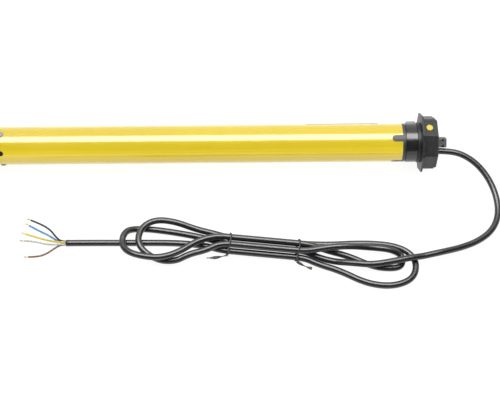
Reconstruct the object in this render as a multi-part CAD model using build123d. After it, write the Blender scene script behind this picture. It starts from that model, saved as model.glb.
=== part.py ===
"""A tubular roller blind motor with its tied supply cable.

The motor lies along X with its head at +X. The origin is on the surface that it lies on, under the
middle of its length. Angles round the axis are measured from +Y towards +Z.
"""
from build123d import *
import math
import os

# Motor tube
tube_d = 45.0
tube_wall = 1.0
tube_length = 485.0
notch_width = 7.9
notch_length = 12.5
notch_count = 4
notch_angle = 22.5
fixing_inset = 14.8
rivet_hole_d = 4.0
plug_hole_d = 6.5
plug_depth = 3.0
fixing_count = 3
rivet_angle = 90.0
plug_angle = 30.0
rivet_head_d = 7.0
rivet_head_t = 0.9
rivet_top_d = 4.6
rivet_core_d = 2.0
rivet_core_depth = 0.5
rivet_depth = 4.5
label_length = 84.0
label_inset = 27.6
label_width = 32.0
label_t = 0.2
label_glue_t = 0.1
label_edge_angle = 37.0

# Fits
slide_fit = 0.1
seat_fit = 0.05
shaft_fit = 0.03
face_gap = 0.3
overrun = 1.0

# Head
shoulder_length = 2.8
groove_length = 1.5
groove_depth = 1.5
ring_length = 12.8
ring_rise = 0.5
neck_drop = 2.6
neck_wall = 6.4
ring_key_height = 2.0
ring_key_width = 6.0
ring_key_angle = 22.5
lip_gap = 0.6
lip_length = 3.2
lip_rise = 1.0
waist_length = 1.0
waist_drop = 0.5
flange_flats = 66.0
flange_t = 2.1
housing_flats = 58.85
housing_length = 13.4
housing_wall = 2.4
cover_flats = 56.4
cover_t = 3.15
cover_bevel = 0.8
insert_length = 38.0
insert_wall = 3.4
bulkhead_t = 3.0
bulkhead_bore_d = 20.0

# Bracket spigot
spigot_side = 11.4
spigot_length = 12.85
spigot_round = 1.5
spigot_bevel = 0.8
spigot_plate_side = 22.0
spigot_plate_t = 3.0
spigot_turn = 45.0
cross_hole_d = 2.8
cross_hole_spacing = 7.2
cross_hole_inset = 4.7

# Setting button, its spring and the switch under it
button_d = 7.7
button_bevel = 0.3
button_proud = 0.9
button_travel = 1.2
button_rim_d = 9.6
button_rim_t = 1.2
button_stem_d = 2.6
button_stem_length = 2.2
button_dimple_d = 1.8
button_dimple_depth = 0.25
button_panel_length = 11.0
button_panel_width = 17.0
button_panel_depth = 0.5
button_inset = 6.6
button_spring_d = 5.0
button_spring_wire_d = 0.45
button_spring_turns = 3
switch_size = 7.0
switch_height = 3.6
switch_shelf_t = 1.5
switch_shelf_width = 14.0

# Limit counting gears
count_gear_rise = 1.1
count_ring_teeth = 70
count_pinion_teeth = 12
count_width = 4.0
count_angle = 135.0
count_axle_d = 2.0
count_axle_seat = 2.0
count_clearance = 0.9

# Screws
neck_screw_d = 2.4
neck_screw_head_d = 4.4
neck_screw_head_t = 1.4
neck_screw_length = 9.0
neck_screw_inset = 3.1
neck_screw_count = 4
cover_screw_d = 2.5
cover_screw_head_d = 4.6
cover_screw_length = 8.0
cover_screw_sink = 1.2
cover_screw_spacing = 44.0
cover_screw_count = 2
cover_boss_d = 5.0
drive_slot_width = 0.8

# Electronics
board_edge_gap = 5.4
board_share = 0.198
board_t = 1.6
board_drop = 5.0
rail_width = 2.2
rail_t = 1.2
relay_length = 15.0
relay_width = 10.0
relay_height = 10.0
relay_spacing = 12.0
terminal_length = 8.0
terminal_width = 20.0
terminal_height = 7.0
choke_d = 12.0
choke_height = 6.0
capacitor_share = 0.1443
capacitor_round = 1.5
cradle_length = 9.0
cradle_t = 4.9

# Motor
shield_t = 9.0
shield_web_t = 4.5
shield_hub_d = 22.0
shield_rim = 3.4
shield_skirt = 6.0
shield_skirt_t = 1.7
end_turn_length = 11.0
end_turn_rim = 1.0
end_turn_gap = 1.0
stator_share = 0.1856
stator_slots = 12
slot_depth_share = 0.2336
slot_width = 3.4
slot_mouth = 1.4
slot_mouth_depth = 1.0
slot_fit = 0.15
air_gap = 0.35
rotor_share = 0.542
rotor_ring_step = 1.0
rotor_ring_length = 5.0
fan_blades = 8
fan_blade_t = 1.2
fan_blade_length = 2.5
fan_blade_inset = 1.2
shaft_d = 6.0
bearing_d = 16.0
bearing_length = 6.0

# Brake
brake_pot_length = 24.0
brake_pot_wall = 3.0
brake_pole_share = 0.42
coil_length = 17.0
coil_fit = 0.3
brake_spring_d = 12.0
brake_spring_wire_d = 1.6
brake_spring_turns = 6
brake_spring_fit = 0.7
armature_t = 3.5
brake_travel = 0.4
brake_face_gap = 0.05
brake_disc_gap = 4.4
brake_disc_t = 3.0
brake_plate_t = 3.0
brake_plate_bore_d = 11.0
brake_pillar_d = 3.8

# Gearbox
ring_gear_wall = 3.07
sun_teeth = 12
planet_teeth = 21
planet_count = 3
planet_angle = 90.0
addendum_share = 0.9
dedendum_share = 1.2
pressure_angle = 20.0
flank_clearance = 0.06
planet_length = 11.0
planet_pin_d = 3.0
stage_names = ("first", "second", "output")
stage_gap = 0.5
carrier_t = 4.0
carrier_gap = 5.9
output_shaft_d = 14.0
output_bearing_d = 22.0
output_bearing_length = 8.0
end_cap_lip = 3.0
end_cap_wall = 6.0
end_cap_web = 16.0

# Drive adapter
adapter_flats = 58.6
adapter_length = 20.0
adapter_gap = 0.5
adapter_rim = 3.0
adapter_hub_d = 24.0
adapter_web_t = 4.0
adapter_rib_t = 2.4
adapter_turn = 22.5
shaft_hex_flats = 10.0
retainer_head_d = 14.0
retainer_head_t = 2.0
retainer_d = 4.0
retainer_length = 12.0
retainer_socket_flats = 3.0

# Supply cable, its cores and the ties
cable_d = 7.5
cable_offset = 10.5
cable_angle = 225.0
grommet_wall = 0.5
grommet_collar = 1.2
grommet_length = 9.0
cable_seat_depth = 6.0
core_d = 2.2
core_circle_d = 3.9
conductor_d = 1.0
conductor_length = 6.0
tie_t = 0.8
tie_width = 1.8
tie_fit = 0.3
tie_twist_d = 2.4

# The hank: its middle from the tube's head end and the axis, its turn about Z, and its waist
hank_x = -164.0
hank_y = -125.6
hank_turn = -6.6
waist_half = 39.5
strand_step = 9.2
storey = 8.1
tie_lift = 1.3

# Sizes across the tube, worked out from it
tube_r = tube_d / 2
bore_r = tube_r - tube_wall
fit_r = bore_r - slide_fit
groove_d = tube_d - 2 * groove_depth
ring_d = tube_d + 2 * ring_rise
neck_d = tube_d - 2 * neck_drop
neck_bore_d = neck_d - 2 * neck_wall
lip_d = tube_d + 2 * lip_rise
waist_d = tube_d - 2 * waist_drop
count_module = (neck_d + 2 * count_gear_rise) / count_ring_teeth
neck_screw_circle_d = neck_d - 2 * neck_screw_inset
board_width = 2 * (fit_r - board_edge_gap)
capacitor_d = 2 * (fit_r - cradle_t)
rotor_d = 2 * fit_r * rotor_share
rotor_ring_d = rotor_d - 2 * rotor_ring_step
slot_depth = fit_r * slot_depth_share
brake_pole_d = 2 * fit_r * brake_pole_share
brake_disc_d = 2 * (fit_r - brake_disc_gap)
gear_module = (fit_r - ring_gear_wall) / (sun_teeth / 2 + planet_teeth + dedendum_share)
carrier_d = 2 * (fit_r - carrier_gap)

# Lengths that follow the tube's
board_length = tube_length * board_share
capacitor_length = tube_length * capacitor_share
stator_length = tube_length * stator_share

# Places along the axis, worked out from the sizes above
drive_overhang = end_cap_lip + adapter_gap + adapter_length
lip_start = shoulder_length + groove_length + ring_length + lip_gap
flange_start = lip_start + lip_length + waist_length
housing_start = flange_start + flange_t
cover_start = housing_start + housing_length
head_length = cover_start + cover_t
overall_length = drive_overhang + tube_length + head_length + spigot_length
tube_head_x = overall_length / 2 - spigot_length - head_length
tube_drive_x = tube_head_x - tube_length
axis_z = flange_flats / 2
fixing_x = tube_drive_x + fixing_inset
ring_x = tube_head_x + shoulder_length + groove_length
neck_end_x = tube_head_x + lip_start
housing_x = tube_head_x + housing_start
cover_x = tube_head_x + cover_start
face_x = tube_head_x + head_length
end_cap_x = tube_drive_x - end_cap_lip
adapter_x = tube_drive_x - drive_overhang

# Places of the inner parts, from the head towards the drive end
insert_x = tube_head_x - insert_length
board_x = tube_head_x - bulkhead_t - board_length
capacitor_x = board_x - cradle_length - capacitor_length
rear_shield_x = capacitor_x - cradle_length - shield_t
stator_x = rear_shield_x - end_turn_gap - end_turn_length - stator_length
front_shield_x = stator_x - end_turn_length - end_turn_gap - shield_t
brake_pot_x = front_shield_x - slide_fit - brake_pot_length
armature_x = brake_pot_x - brake_face_gap - brake_travel - armature_t
brake_disc_x = armature_x - brake_face_gap - brake_disc_t
brake_plate_x = brake_disc_x - brake_face_gap - brake_plate_t
stage_pitch = carrier_t + 2 * stage_gap + planet_length
stage_x = [brake_plate_x - stage_gap - planet_length - stage_pitch * k for k in range(len(stage_names))]
ring_gear_x = stage_x[-1] - 2 * stage_gap - carrier_t
end_cap_length = ring_gear_x - end_cap_x

# Places round the axis and inside the head
planet_orbit = gear_module * (sun_teeth + planet_teeth) / 2
count_orbit = count_module * (count_ring_teeth - count_pinion_teeth) / 2
button_x = housing_x + button_inset
housing_top = housing_flats / 2
button_rim_z = housing_top - housing_wall - face_gap - button_rim_t
switch_top = button_rim_z - button_stem_length - button_travel - slide_fit
slot_bore_r = rotor_d / 2 + air_gap


def polar(radius, angle, x=0.0):
    """A point at this radius and angle round the axis."""
    turn = math.radians(angle)
    return Vector(x, radius * math.cos(turn), radius * math.sin(turn))


def around(count, first=0.0):
    """The angles of things spaced evenly round the axis."""
    return [first + 360 * k / count for k in range(count)]


def cross_plane(x):
    """The plane across the axis at x, with its own x along +Y and its own y along +Z."""
    return Plane(origin=(x, 0, 0), x_dir=(0, 1, 0), z_dir=(1, 0, 0))


def disc(x, length, radius, bore=0.0, centre=Vector(0, 0, 0)):
    """A cylinder along the axis from x towards +X, with a bore where one is given."""
    plane = Plane(origin=(x, centre.Y, centre.Z), z_dir=(1, 0, 0))
    solid = Solid.make_cylinder(radius, length, plane)
    if bore:
        solid = solid - Solid.make_cylinder(bore, length, plane)
    return solid


def upright(radius, low, height, x, y=0.0):
    """A cylinder along +Z that stands at this height above the axis."""
    return Solid.make_cylinder(radius, height, Plane(origin=(x, y, low), z_dir=(0, 0, 1)))


def turned(*outline):
    """A solid of revolution about the axis, from (place along the axis, radius) points."""
    face = Face(Wire.make_polygon([Vector(x, 0, radius) for x, radius in outline], close=True))
    return revolve(face, Axis.X)


def radial_rod(radius, inner, outer, x, angle):
    """A round rod that points away from the axis."""
    plane = Plane(origin=polar(inner, angle, x), z_dir=polar(1, angle))
    return Solid.make_cylinder(radius, outer - inner, plane)


def block(x, length, y, width, z, height):
    """A box from its lowest corner."""
    return Pos(x, y, z) * Box(length, width, height, align=(Align.MIN, Align.MIN, Align.MIN))


def square_bar(x, length, side):
    """A square bar round the axis, with its flats up and down."""
    return block(x, length, -side / 2, side, -side / 2, side)


def spun(angle, shape):
    """The shape turned round the axis."""
    return Rot(angle, 0, 0) * shape


def sided_bar(sides, flats, x, length):
    """A bar of a regular section round the axis, that lies on one of its flats."""
    outline = RegularPolygon(flats / 2, sides, major_radius=False, rotation=180 / sides)
    return extrude(cross_plane(x) * outline, length)


def round_ended_bar(width, length, angle):
    """A bar that reaches out from the axis, open at the tube's head end and round at the other."""
    start = tube_head_x - length + width / 2
    bar = block(start, length - width / 2 + overrun, -width / 2, width, 0, tube_d)
    return spun(angle - 90, bar + upright(width / 2, 0, tube_d, start))


def single(shape):
    """The one solid of a shape, or all of them together where there are several."""
    solids = shape.solids()
    return solids[0] if len(solids) == 1 else Compound(children=list(solids))


def group(solids):
    return Compound(children=[single(solid) for solid in solids])


# Gear teeth
def involute(angle):
    return math.tan(angle) - angle


def tooth_points(teeth, module, root, tip, slack):
    """One tooth as (radius, angle) points, up one flank and down the other."""
    pitch = module * teeth / 2
    base = pitch * math.cos(math.radians(pressure_angle))
    half = math.pi / (2 * teeth) + slack / pitch + involute(math.radians(pressure_angle))
    radii = [root, base, pitch, tip] if root < base else [root, pitch, tip]
    flank = [(radius, half - involute(math.acos(min(base / radius, 1.0)))) for radius in radii]
    return [(radius, -angle) for radius, angle in flank] + flank[::-1]


def toothed(teeth, module, x, length, root, tip, slack, first_angle):
    """A toothed bar round the axis, with a tooth centred on first_angle."""
    points = []
    for centre in around(teeth, first_angle):
        for radius, angle in tooth_points(teeth, module, root, tip, slack):
            points.append(polar(radius, centre + math.degrees(angle), x))
    return extrude(Face(Wire.make_polygon(points, close=True)), length, dir=(1, 0, 0))


def wheel(teeth, module, x, length, first_angle):
    """A wheel's toothed body, its flanks thinned so that it runs free."""
    pitch = module * teeth / 2
    return toothed(teeth, module, x, length, pitch - dedendum_share * module, pitch + addendum_share * module,
                   -flank_clearance, first_angle)


def wheel_space(teeth, module, x, length, first_angle):
    """The space inside a ring with inner teeth, with a gap between teeth centred on first_angle."""
    pitch = module * teeth / 2
    return toothed(teeth, module, x, length, pitch - addendum_share * module, pitch + dedendum_share * module,
                   flank_clearance, first_angle)


# Motor tube, its fixings and its blank label
def motor_tube():
    tube = disc(tube_drive_x, tube_length, tube_r, bore_r)
    for angle in around(notch_count, notch_angle):
        tube -= round_ended_bar(notch_width, notch_length, angle)
    for angle in around(fixing_count, rivet_angle):
        tube -= radial_rod(rivet_hole_d / 2, bore_r - overrun, tube_r + overrun, fixing_x, angle)
    for angle in around(fixing_count, plug_angle):
        tube -= radial_rod(plug_hole_d / 2, bore_r - overrun, tube_r + overrun, fixing_x, angle)
    return single(tube)


def tube_rivets():
    rivets = []
    seat = tube_r + seat_fit
    for angle in around(fixing_count, rivet_angle):
        shank = radial_rod(rivet_hole_d / 2 - seat_fit, tube_r - rivet_depth, seat, fixing_x, angle)
        plane = Plane(origin=polar(seat, angle, fixing_x), z_dir=polar(1, angle))
        head = Solid.make_cone(rivet_head_d / 2, rivet_top_d / 2, rivet_head_t, plane)
        top = seat + rivet_head_t
        core = radial_rod(rivet_core_d / 2, top - rivet_core_depth, top + overrun, fixing_x, angle)
        rivets.append(shank + head - core)
    return group(rivets)


def locating_plugs():
    radius = plug_hole_d / 2 - seat_fit
    return group([radial_rod(radius, bore_r - plug_depth, tube_r - face_gap, fixing_x, angle)
                  for angle in around(fixing_count, plug_angle)])


def type_label():
    """A blank label bent round the back of the tube."""
    inner = tube_r + label_glue_t
    x = tube_head_x - label_inset - label_length
    span = math.degrees(label_width / tube_r)
    band = disc(x, label_length, inner + label_t, inner)
    corners = [polar(tube_d, label_edge_angle, x), Vector(x, 0, 0), polar(tube_d, label_edge_angle - span, x)]
    wedge = extrude(Face(Wire.make_polygon(corners, close=True)), label_length, dir=(1, 0, 0))
    return single(band & wedge)


# Head: the insert in the tube, the running ring, the eight-sided housing and its cover
def head_insert():
    neck_r = neck_d / 2
    inner_r = fit_r - insert_wall
    step_x = tube_head_x + shoulder_length
    body = turned(
        (insert_x, bulkhead_bore_d / 2), (insert_x, fit_r), (tube_head_x, fit_r), (tube_head_x, tube_r),
        (step_x, tube_r), (step_x, groove_d / 2), (ring_x, groove_d / 2), (ring_x, neck_r),
        (neck_end_x, neck_r), (neck_end_x, neck_bore_d / 2), (tube_head_x, neck_bore_d / 2),
        (tube_head_x - insert_wall, inner_r), (insert_x + bulkhead_t, inner_r),
        (insert_x + bulkhead_t, bulkhead_bore_d / 2))
    sleeve = disc(tube_head_x - notch_length, notch_length, tube_r, inner_r)
    for angle in around(notch_count, notch_angle):
        body += sleeve & round_ended_bar(notch_width - slide_fit, notch_length - seat_fit, angle)
    body -= block(insert_x - overrun, bulkhead_t + 2 * overrun, -board_width / 2 - slide_fit,
                  board_width + 2 * slide_fit, -board_drop - slide_fit, board_t + 2 * slide_fit)
    rail_x = insert_x + bulkhead_t
    rail_inner = board_width / 2 - rail_width
    within = disc(rail_x, insert_length, fit_r - slide_fit)
    for y in (rail_inner, -fit_r):
        rail = block(rail_x, insert_length - bulkhead_t - insert_wall, y, fit_r - rail_inner,
                     -board_drop - slide_fit - rail_t, rail_t)
        body += rail & within
    for angle in around(neck_screw_count):
        body -= disc(neck_end_x - neck_screw_length, neck_screw_length, neck_screw_d / 2,
                     centre=polar(neck_screw_circle_d / 2, angle))
    centre = polar(count_orbit, count_angle)
    tip_r = count_module * (count_pinion_teeth / 2 + addendum_share)
    window = count_width + count_clearance
    body -= disc(neck_end_x - window, window, tip_r + face_gap, centre=centre)
    body -= disc(neck_end_x - window - count_axle_seat, count_axle_seat, count_axle_d / 2 + shaft_fit,
                 centre=centre)
    return single(body)


def running_ring():
    """The ring that the winding shaft turns, with its key outside and its counting teeth inside."""
    length = ring_length - slide_fit
    x = ring_x + slide_fit
    ring = disc(x, length, ring_d / 2, neck_d / 2 + shaft_fit)
    ring -= wheel_space(count_ring_teeth, count_module, x + length - count_width, count_width, count_angle)
    bottom = ring_d / 2 - ring_key_height / 2
    top = ring_d / 2 + ring_key_height
    corners = [(x, bottom), (x + ring_key_height, top), (x + length, top), (x + length, bottom)]
    outline = Wire.make_polygon([Vector(place, -ring_key_width / 2, height) for place, height in corners])
    key = extrude(Face(outline), ring_key_width, dir=(0, 1, 0))
    return single(ring + spun(ring_key_angle - 90, key))


def counter_pinion():
    """The small wheel that counts the running ring's turns."""
    length = count_width - slide_fit
    x = neck_end_x - face_gap - length
    body = wheel(count_pinion_teeth, count_module, x, length, count_angle)
    body -= disc(x, length, count_axle_d / 2 + shaft_fit)
    centre = polar(count_orbit, count_angle)
    return single(Pos(0, centre.Y, centre.Z) * body)


def head_housing():
    waist_x = neck_end_x + lip_length
    body = disc(neck_end_x, lip_length, lip_d / 2) + disc(waist_x, waist_length, waist_d / 2)
    body += sided_bar(8, flange_flats, tube_head_x + flange_start, flange_t)
    shell = sided_bar(8, housing_flats, housing_x, housing_length)
    body += shell - sided_bar(8, housing_flats - 2 * housing_wall, housing_x, housing_length)
    body -= disc(neck_end_x, housing_start - lip_start, bulkhead_bore_d / 2)
    for angle in around(neck_screw_count):
        centre = polar(neck_screw_circle_d / 2, angle)
        body -= disc(neck_end_x, housing_start - lip_start, neck_screw_d / 2 + slide_fit, centre=centre)
        seat = neck_screw_head_t + slide_fit
        body -= disc(housing_x - seat, seat, neck_screw_head_d / 2 + slide_fit, centre=centre)
    for angle in around(cover_screw_count):
        centre = polar(cover_screw_spacing / 2, angle)
        body += disc(housing_x, housing_length, cover_boss_d / 2, centre=centre)
        body -= disc(cover_x - cover_screw_length, cover_screw_length, cover_screw_d / 2, centre=centre)
    body -= upright(button_d / 2 + slide_fit, 0, housing_flats, button_x)
    body -= block(button_x - button_panel_length / 2, button_panel_length, -button_panel_width / 2,
                  button_panel_width, housing_top - button_panel_depth, overrun)
    body += block(housing_x, button_inset + switch_size / 2, -switch_shelf_width / 2, switch_shelf_width,
                  switch_top - switch_height - switch_shelf_t, switch_shelf_t)
    axle_length = count_width + count_clearance + count_axle_seat - slide_fit
    axle = polar(count_orbit, count_angle)
    body += disc(neck_end_x - axle_length, axle_length, count_axle_d / 2, centre=axle)
    return single(body)


def grommet_outer_r():
    return cable_d / 2 + grommet_wall


def head_end_cover():
    cover = sided_bar(8, cover_flats, cover_x, cover_t)
    cover = chamfer(cover.faces().sort_by(Axis.X)[-1].edges(), cover_bevel)
    cover -= spun(spigot_turn, square_bar(cover_x, cover_t, spigot_side + 2 * slide_fit))
    cover -= disc(cover_x, cover_t, grommet_outer_r() + seat_fit, centre=polar(cable_offset, cable_angle))
    for angle in around(cover_screw_count):
        centre = polar(cover_screw_spacing / 2, angle)
        cover -= disc(cover_x, cover_t, cover_screw_d / 2 + slide_fit, centre=centre)
        cover -= disc(face_x - cover_screw_sink, cover_screw_sink, cover_screw_head_d / 2 + slide_fit,
                      centre=centre)
    return single(cover)


def mounting_spigot():
    """The square stud that the bracket holds, on a plate behind the cover."""
    plate_x = cover_x - spigot_plate_t
    bar = square_bar(plate_x, face_x + spigot_length - plate_x, spigot_side)
    bar = fillet(bar.edges().filter_by(Axis.X), spigot_round)
    bar = chamfer(bar.faces().sort_by(Axis.X)[-1].edges(), spigot_bevel)
    body = bar + square_bar(plate_x, spigot_plate_t - slide_fit, spigot_plate_side)
    hole_x = face_x + spigot_length - cross_hole_inset
    for y in (-cross_hole_spacing / 2, cross_hole_spacing / 2):
        body -= upright(cross_hole_d / 2, -spigot_side, 2 * spigot_side, hole_x, y)
    body = spun(spigot_turn, body)
    cable_place = polar(cable_offset, cable_angle)
    body -= disc(plate_x, spigot_plate_t, grommet_outer_r() + slide_fit, centre=cable_place)
    return single(body)


def cable_grommet():
    """The sleeve that leads the cable out, closed behind the cable's end."""
    centre = polar(cable_offset, cable_angle)
    x = face_x - grommet_length
    body = disc(x, grommet_length, grommet_outer_r(), centre=centre)
    collar_length = grommet_length - cover_t - spigot_plate_t - slide_fit
    body += disc(x, collar_length, grommet_outer_r() + grommet_collar, centre=centre)
    body -= disc(face_x - cable_seat_depth, cable_seat_depth, cable_d / 2 + shaft_fit, centre=centre)
    return single(body)


def screw(tip_x, seat_x, shank_r, head_r, head_t, angle, circle_d):
    """A pan-headed screw along the axis, its head towards +X and cross-slotted."""
    centre = polar(circle_d / 2, angle)
    body = disc(tip_x, seat_x - tip_x, shank_r, centre=centre) + disc(seat_x, head_t, head_r, centre=centre)
    for width, height in ((drive_slot_width, head_r), (head_r, drive_slot_width)):
        body -= block(seat_x + head_t / 2, head_t, centre.Y - width / 2, width, centre.Z - height / 2, height)
    return body


def neck_screws():
    return group([screw(neck_end_x - neck_screw_length + slide_fit, housing_x - neck_screw_head_t,
                        neck_screw_d / 2 - seat_fit, neck_screw_head_d / 2, neck_screw_head_t, angle,
                        neck_screw_circle_d) for angle in around(neck_screw_count)])


def cover_screws():
    return group([screw(cover_x - cover_screw_length + slide_fit, face_x - cover_screw_sink + seat_fit,
                        cover_screw_d / 2 - seat_fit, cover_screw_head_d / 2, cover_screw_sink - slide_fit,
                        angle, cover_screw_spacing) for angle in around(cover_screw_count)])


# Setting button, its spring and its switch
def setting_button():
    top = housing_top - button_panel_depth + button_proud
    body = upright(button_d / 2, button_rim_z, top - button_rim_z, button_x)
    body = chamfer(body.edges().sort_by(Axis.Z)[-1], button_bevel)
    body += upright(button_rim_d / 2, button_rim_z, button_rim_t, button_x)
    body += upright(button_stem_d / 2, button_rim_z - button_stem_length, button_stem_length, button_x)
    return single(body - upright(button_dimple_d / 2, top - button_dimple_depth, overrun, button_x))


def setting_switch():
    return block(button_x - switch_size / 2, switch_size, -switch_size / 2, switch_size,
                 switch_top - switch_height, switch_height)


# Paths of tangent arcs, for the hank and the springs
def arc_pair(start, leaving, end, arriving):
    """Two arcs that join two places and share a tangent where they meet, and the corners of both."""
    span = end - start
    square = 2 * (1 - leaving.dot(arriving))
    linear = 2 * span.dot(leaving + arriving)
    constant = -span.dot(span)
    if square < 1e-9:
        reach = -constant / linear
    else:
        reach = (-linear + math.sqrt(linear ** 2 - 4 * square * constant)) / (2 * square)
    corner_a = start + leaving * reach
    corner_b = end - arriving * reach
    middle = (corner_a + corner_b) * 0.5
    return [(start, corner_a, middle), (middle, corner_b, end)]


def arc_edge(start, corner, end):
    """The arc from start to end that touches both lines to the corner, or a line where they are one."""
    leaving = corner - start
    if leaving.get_angle(end - corner) < 0.05:
        return Edge.make_line(start, end)
    return Edge.make_tangent_arc(start, leaving, end)


def arc_path(nodes):
    """Edges through (place, direction) nodes, each pair joined by two arcs."""
    edges = []
    for (start, leaving), (end, arriving) in zip(nodes, nodes[1:]):
        edges += [arc_edge(*corners) for corners in arc_pair(start, leaving, end, arriving)]
    return edges


def tube_along(edges, diameter):
    """A round tube swept along the edges."""
    path = Wire(edges)
    section = Plane(origin=edges[0] @ 0, z_dir=edges[0] % 0) * Circle(diameter / 2)
    return single(sweep(section, path))


def coil(height, mean_d, wire_d, turns):
    """A coil spring round Z whose wire's middle climbs from zero to this height."""
    steps = 4 * turns
    nodes = []
    for k in range(steps + 1):
        turn = math.pi / 2 * k
        place = Vector(math.cos(turn) * mean_d / 2, math.sin(turn) * mean_d / 2, height * k / steps)
        slope = Vector(-math.sin(turn) * mean_d / 2, math.cos(turn) * mean_d / 2, height / turns / math.tau)
        nodes.append((place, slope.normalized()))
    return tube_along(arc_path(nodes), wire_d)


def button_spring():
    """The coil round the button's stem, between its rim and the switch."""
    low = switch_top + seat_fit + button_spring_wire_d / 2
    high = button_rim_z - seat_fit - button_spring_wire_d / 2
    spring = coil(high - low, button_spring_d, button_spring_wire_d, button_spring_turns)
    return Pos(button_x, 0, low) * spring


# Electronics and the run capacitor
def control_board():
    top = board_t - board_drop
    board = block(board_x, board_length, -board_width / 2, board_width, -board_drop, board_t)
    for y in (-relay_spacing / 2, relay_spacing / 2):
        board += block(insert_x - relay_length - face_gap, relay_length, y - relay_width / 2, relay_width,
                       top, relay_height)
    board += block(insert_x + bulkhead_t + terminal_length, terminal_length, -terminal_width / 2,
                   terminal_width, top, terminal_height)
    board += upright(choke_d / 2, top, choke_height, board_x + choke_d)
    return single(board)


def run_capacitor():
    can = disc(capacitor_x, capacitor_length, capacitor_d / 2)
    return single(fillet(can.edges().filter_by(GeomType.CIRCLE), capacitor_round))


def capacitor_rings():
    places = (capacitor_x + cradle_length / 2, capacitor_x + capacitor_length - 3 * cradle_length / 2)
    return group([disc(x, cradle_length, fit_r, capacitor_d / 2 + seat_fit) for x in places])


# Induction motor
def end_shield(x, pocket_x, skirt_x):
    shield = disc(x, shield_t, fit_r, bearing_d / 2 + seat_fit)
    shield -= disc(pocket_x, shield_t - shield_web_t, fit_r - shield_rim, shield_hub_d / 2)
    return single(shield + disc(skirt_x, shield_skirt, fit_r, fit_r - shield_skirt_t))


def rear_end_shield():
    return end_shield(rear_shield_x, rear_shield_x, rear_shield_x - shield_skirt)


def front_end_shield():
    return end_shield(front_shield_x, front_shield_x + shield_web_t, front_shield_x + shield_t)


def rotor_bearings():
    inset = (shield_t - bearing_length) / 2
    return group([disc(x + inset, bearing_length, bearing_d / 2, shaft_d / 2 + shaft_fit)
                  for x in (front_shield_x, rear_shield_x)])


def slot_bars(x, length, fit):
    """Bars in the stator's slots, each smaller by the fit on every side."""
    inner = slot_bore_r + slot_mouth_depth + fit
    bar = block(x, length, inner, slot_depth - 2 * fit, fit - slot_width / 2, slot_width - 2 * fit)
    return [spun(angle, bar) for angle in around(stator_slots)]


def stator_core():
    core = disc(stator_x, stator_length, fit_r, slot_bore_r)
    reach = slot_bore_r + slot_mouth_depth + overrun
    mouth = block(stator_x, stator_length, 0, reach, -slot_mouth / 2, slot_mouth)
    mouths = [spun(angle, mouth) for angle in around(stator_slots)]
    return single(core - slot_bars(stator_x, stator_length, 0) - mouths)


def stator_windings():
    """The coils in the slots and the rings of their end turns."""
    inner = slot_bore_r + slot_mouth_depth
    outer = inner + slot_depth + end_turn_rim
    ring_length = end_turn_length - slot_fit
    rings = [disc(stator_x - end_turn_length, ring_length, outer, inner),
             disc(stator_x + stator_length + slot_fit, ring_length, outer, inner)]
    bars = slot_bars(stator_x - overrun, stator_length + 2 * overrun, slot_fit)
    return single(rings[0] + rings[1] + bars)


def rotor_core():
    """The squirrel cage: a laminated stack between two end rings, one of them with blades."""
    bore = shaft_d / 2 + shaft_fit
    core = disc(stator_x, stator_length, rotor_d / 2, bore)
    for x in (stator_x - rotor_ring_length, stator_x + stator_length):
        core += disc(x, rotor_ring_length, rotor_ring_d / 2, bore)
    blade = block(stator_x + stator_length + rotor_ring_length, fan_blade_length, bore + fan_blade_inset,
                  rotor_ring_d / 2 - bore - 2 * fan_blade_inset, -fan_blade_t / 2, fan_blade_t)
    return single(core + [spun(angle, blade) for angle in around(fan_blades)])


def rotor_shaft():
    """The motor's shaft, with the first sun pinion cut on its end."""
    sun_x = stage_x[0] + slide_fit
    shaft = disc(brake_plate_x, rear_shield_x + shield_t - brake_plate_x, shaft_d / 2)
    return single(shaft + wheel(sun_teeth, gear_module, sun_x, brake_plate_x - sun_x, planet_angle))


# Spring-applied brake
def brake_coil_pot():
    pot = disc(brake_pot_x, brake_pot_length, fit_r, shaft_d / 2 + face_gap)
    pot -= disc(brake_pot_x, coil_length + coil_fit, fit_r - brake_pot_wall, brake_pole_d / 2)
    clear = brake_spring_wire_d / 2 + brake_spring_fit
    pot -= disc(brake_pot_x, coil_length, brake_spring_d / 2 + clear, brake_spring_d / 2 - clear)
    return single(pot)


def brake_coil():
    return single(disc(brake_pot_x + coil_fit, coil_length - coil_fit, fit_r - brake_pot_wall - coil_fit,
                       brake_pole_d / 2 + coil_fit))


def brake_spring():
    """The coil in the pot's recess that presses the armature on the disc."""
    start = brake_pot_x + slide_fit + brake_spring_wire_d / 2
    length = coil_length - 2 * slide_fit - brake_spring_wire_d
    spring = coil(length, brake_spring_d, brake_spring_wire_d, brake_spring_turns)
    return Pos(start, 0, 0) * Rot(0, 90, 0) * spring


def brake_pillars(x, length, fit):
    """Rods at the rim of the brake, each smaller or larger by the fit."""
    radius = brake_pillar_d / 2 + fit
    orbit = fit_r - brake_pillar_d / 2 - seat_fit
    return [disc(x, length, radius, centre=polar(orbit, angle))
            for angle in around(fixing_count, rivet_angle)]


def brake_armature():
    """The plate that the coil pulls back to free the disc, held from turning by the pillars."""
    plate = disc(armature_x, armature_t, fit_r - face_gap, shaft_d / 2 + face_gap)
    return single(plate - brake_pillars(armature_x, armature_t, slide_fit))


def brake_disc():
    return single(disc(brake_disc_x, brake_disc_t, brake_disc_d / 2, shaft_d / 2 + shaft_fit))


def friction_plate():
    plate = disc(brake_plate_x, brake_plate_t, fit_r, brake_plate_bore_d / 2)
    pillar_length = brake_pot_x - brake_plate_x - slide_fit
    return single(plate + brake_pillars(brake_plate_x, pillar_length, 0))


# Planetary gearbox
def planet(stage, angle):
    x = stage_x[stage]
    body = wheel(planet_teeth, gear_module, x, planet_length, angle)
    body -= disc(x, planet_length, planet_pin_d / 2 + shaft_fit)
    centre = polar(planet_orbit, angle)
    return single(Pos(0, centre.Y, centre.Z) * body)


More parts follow.
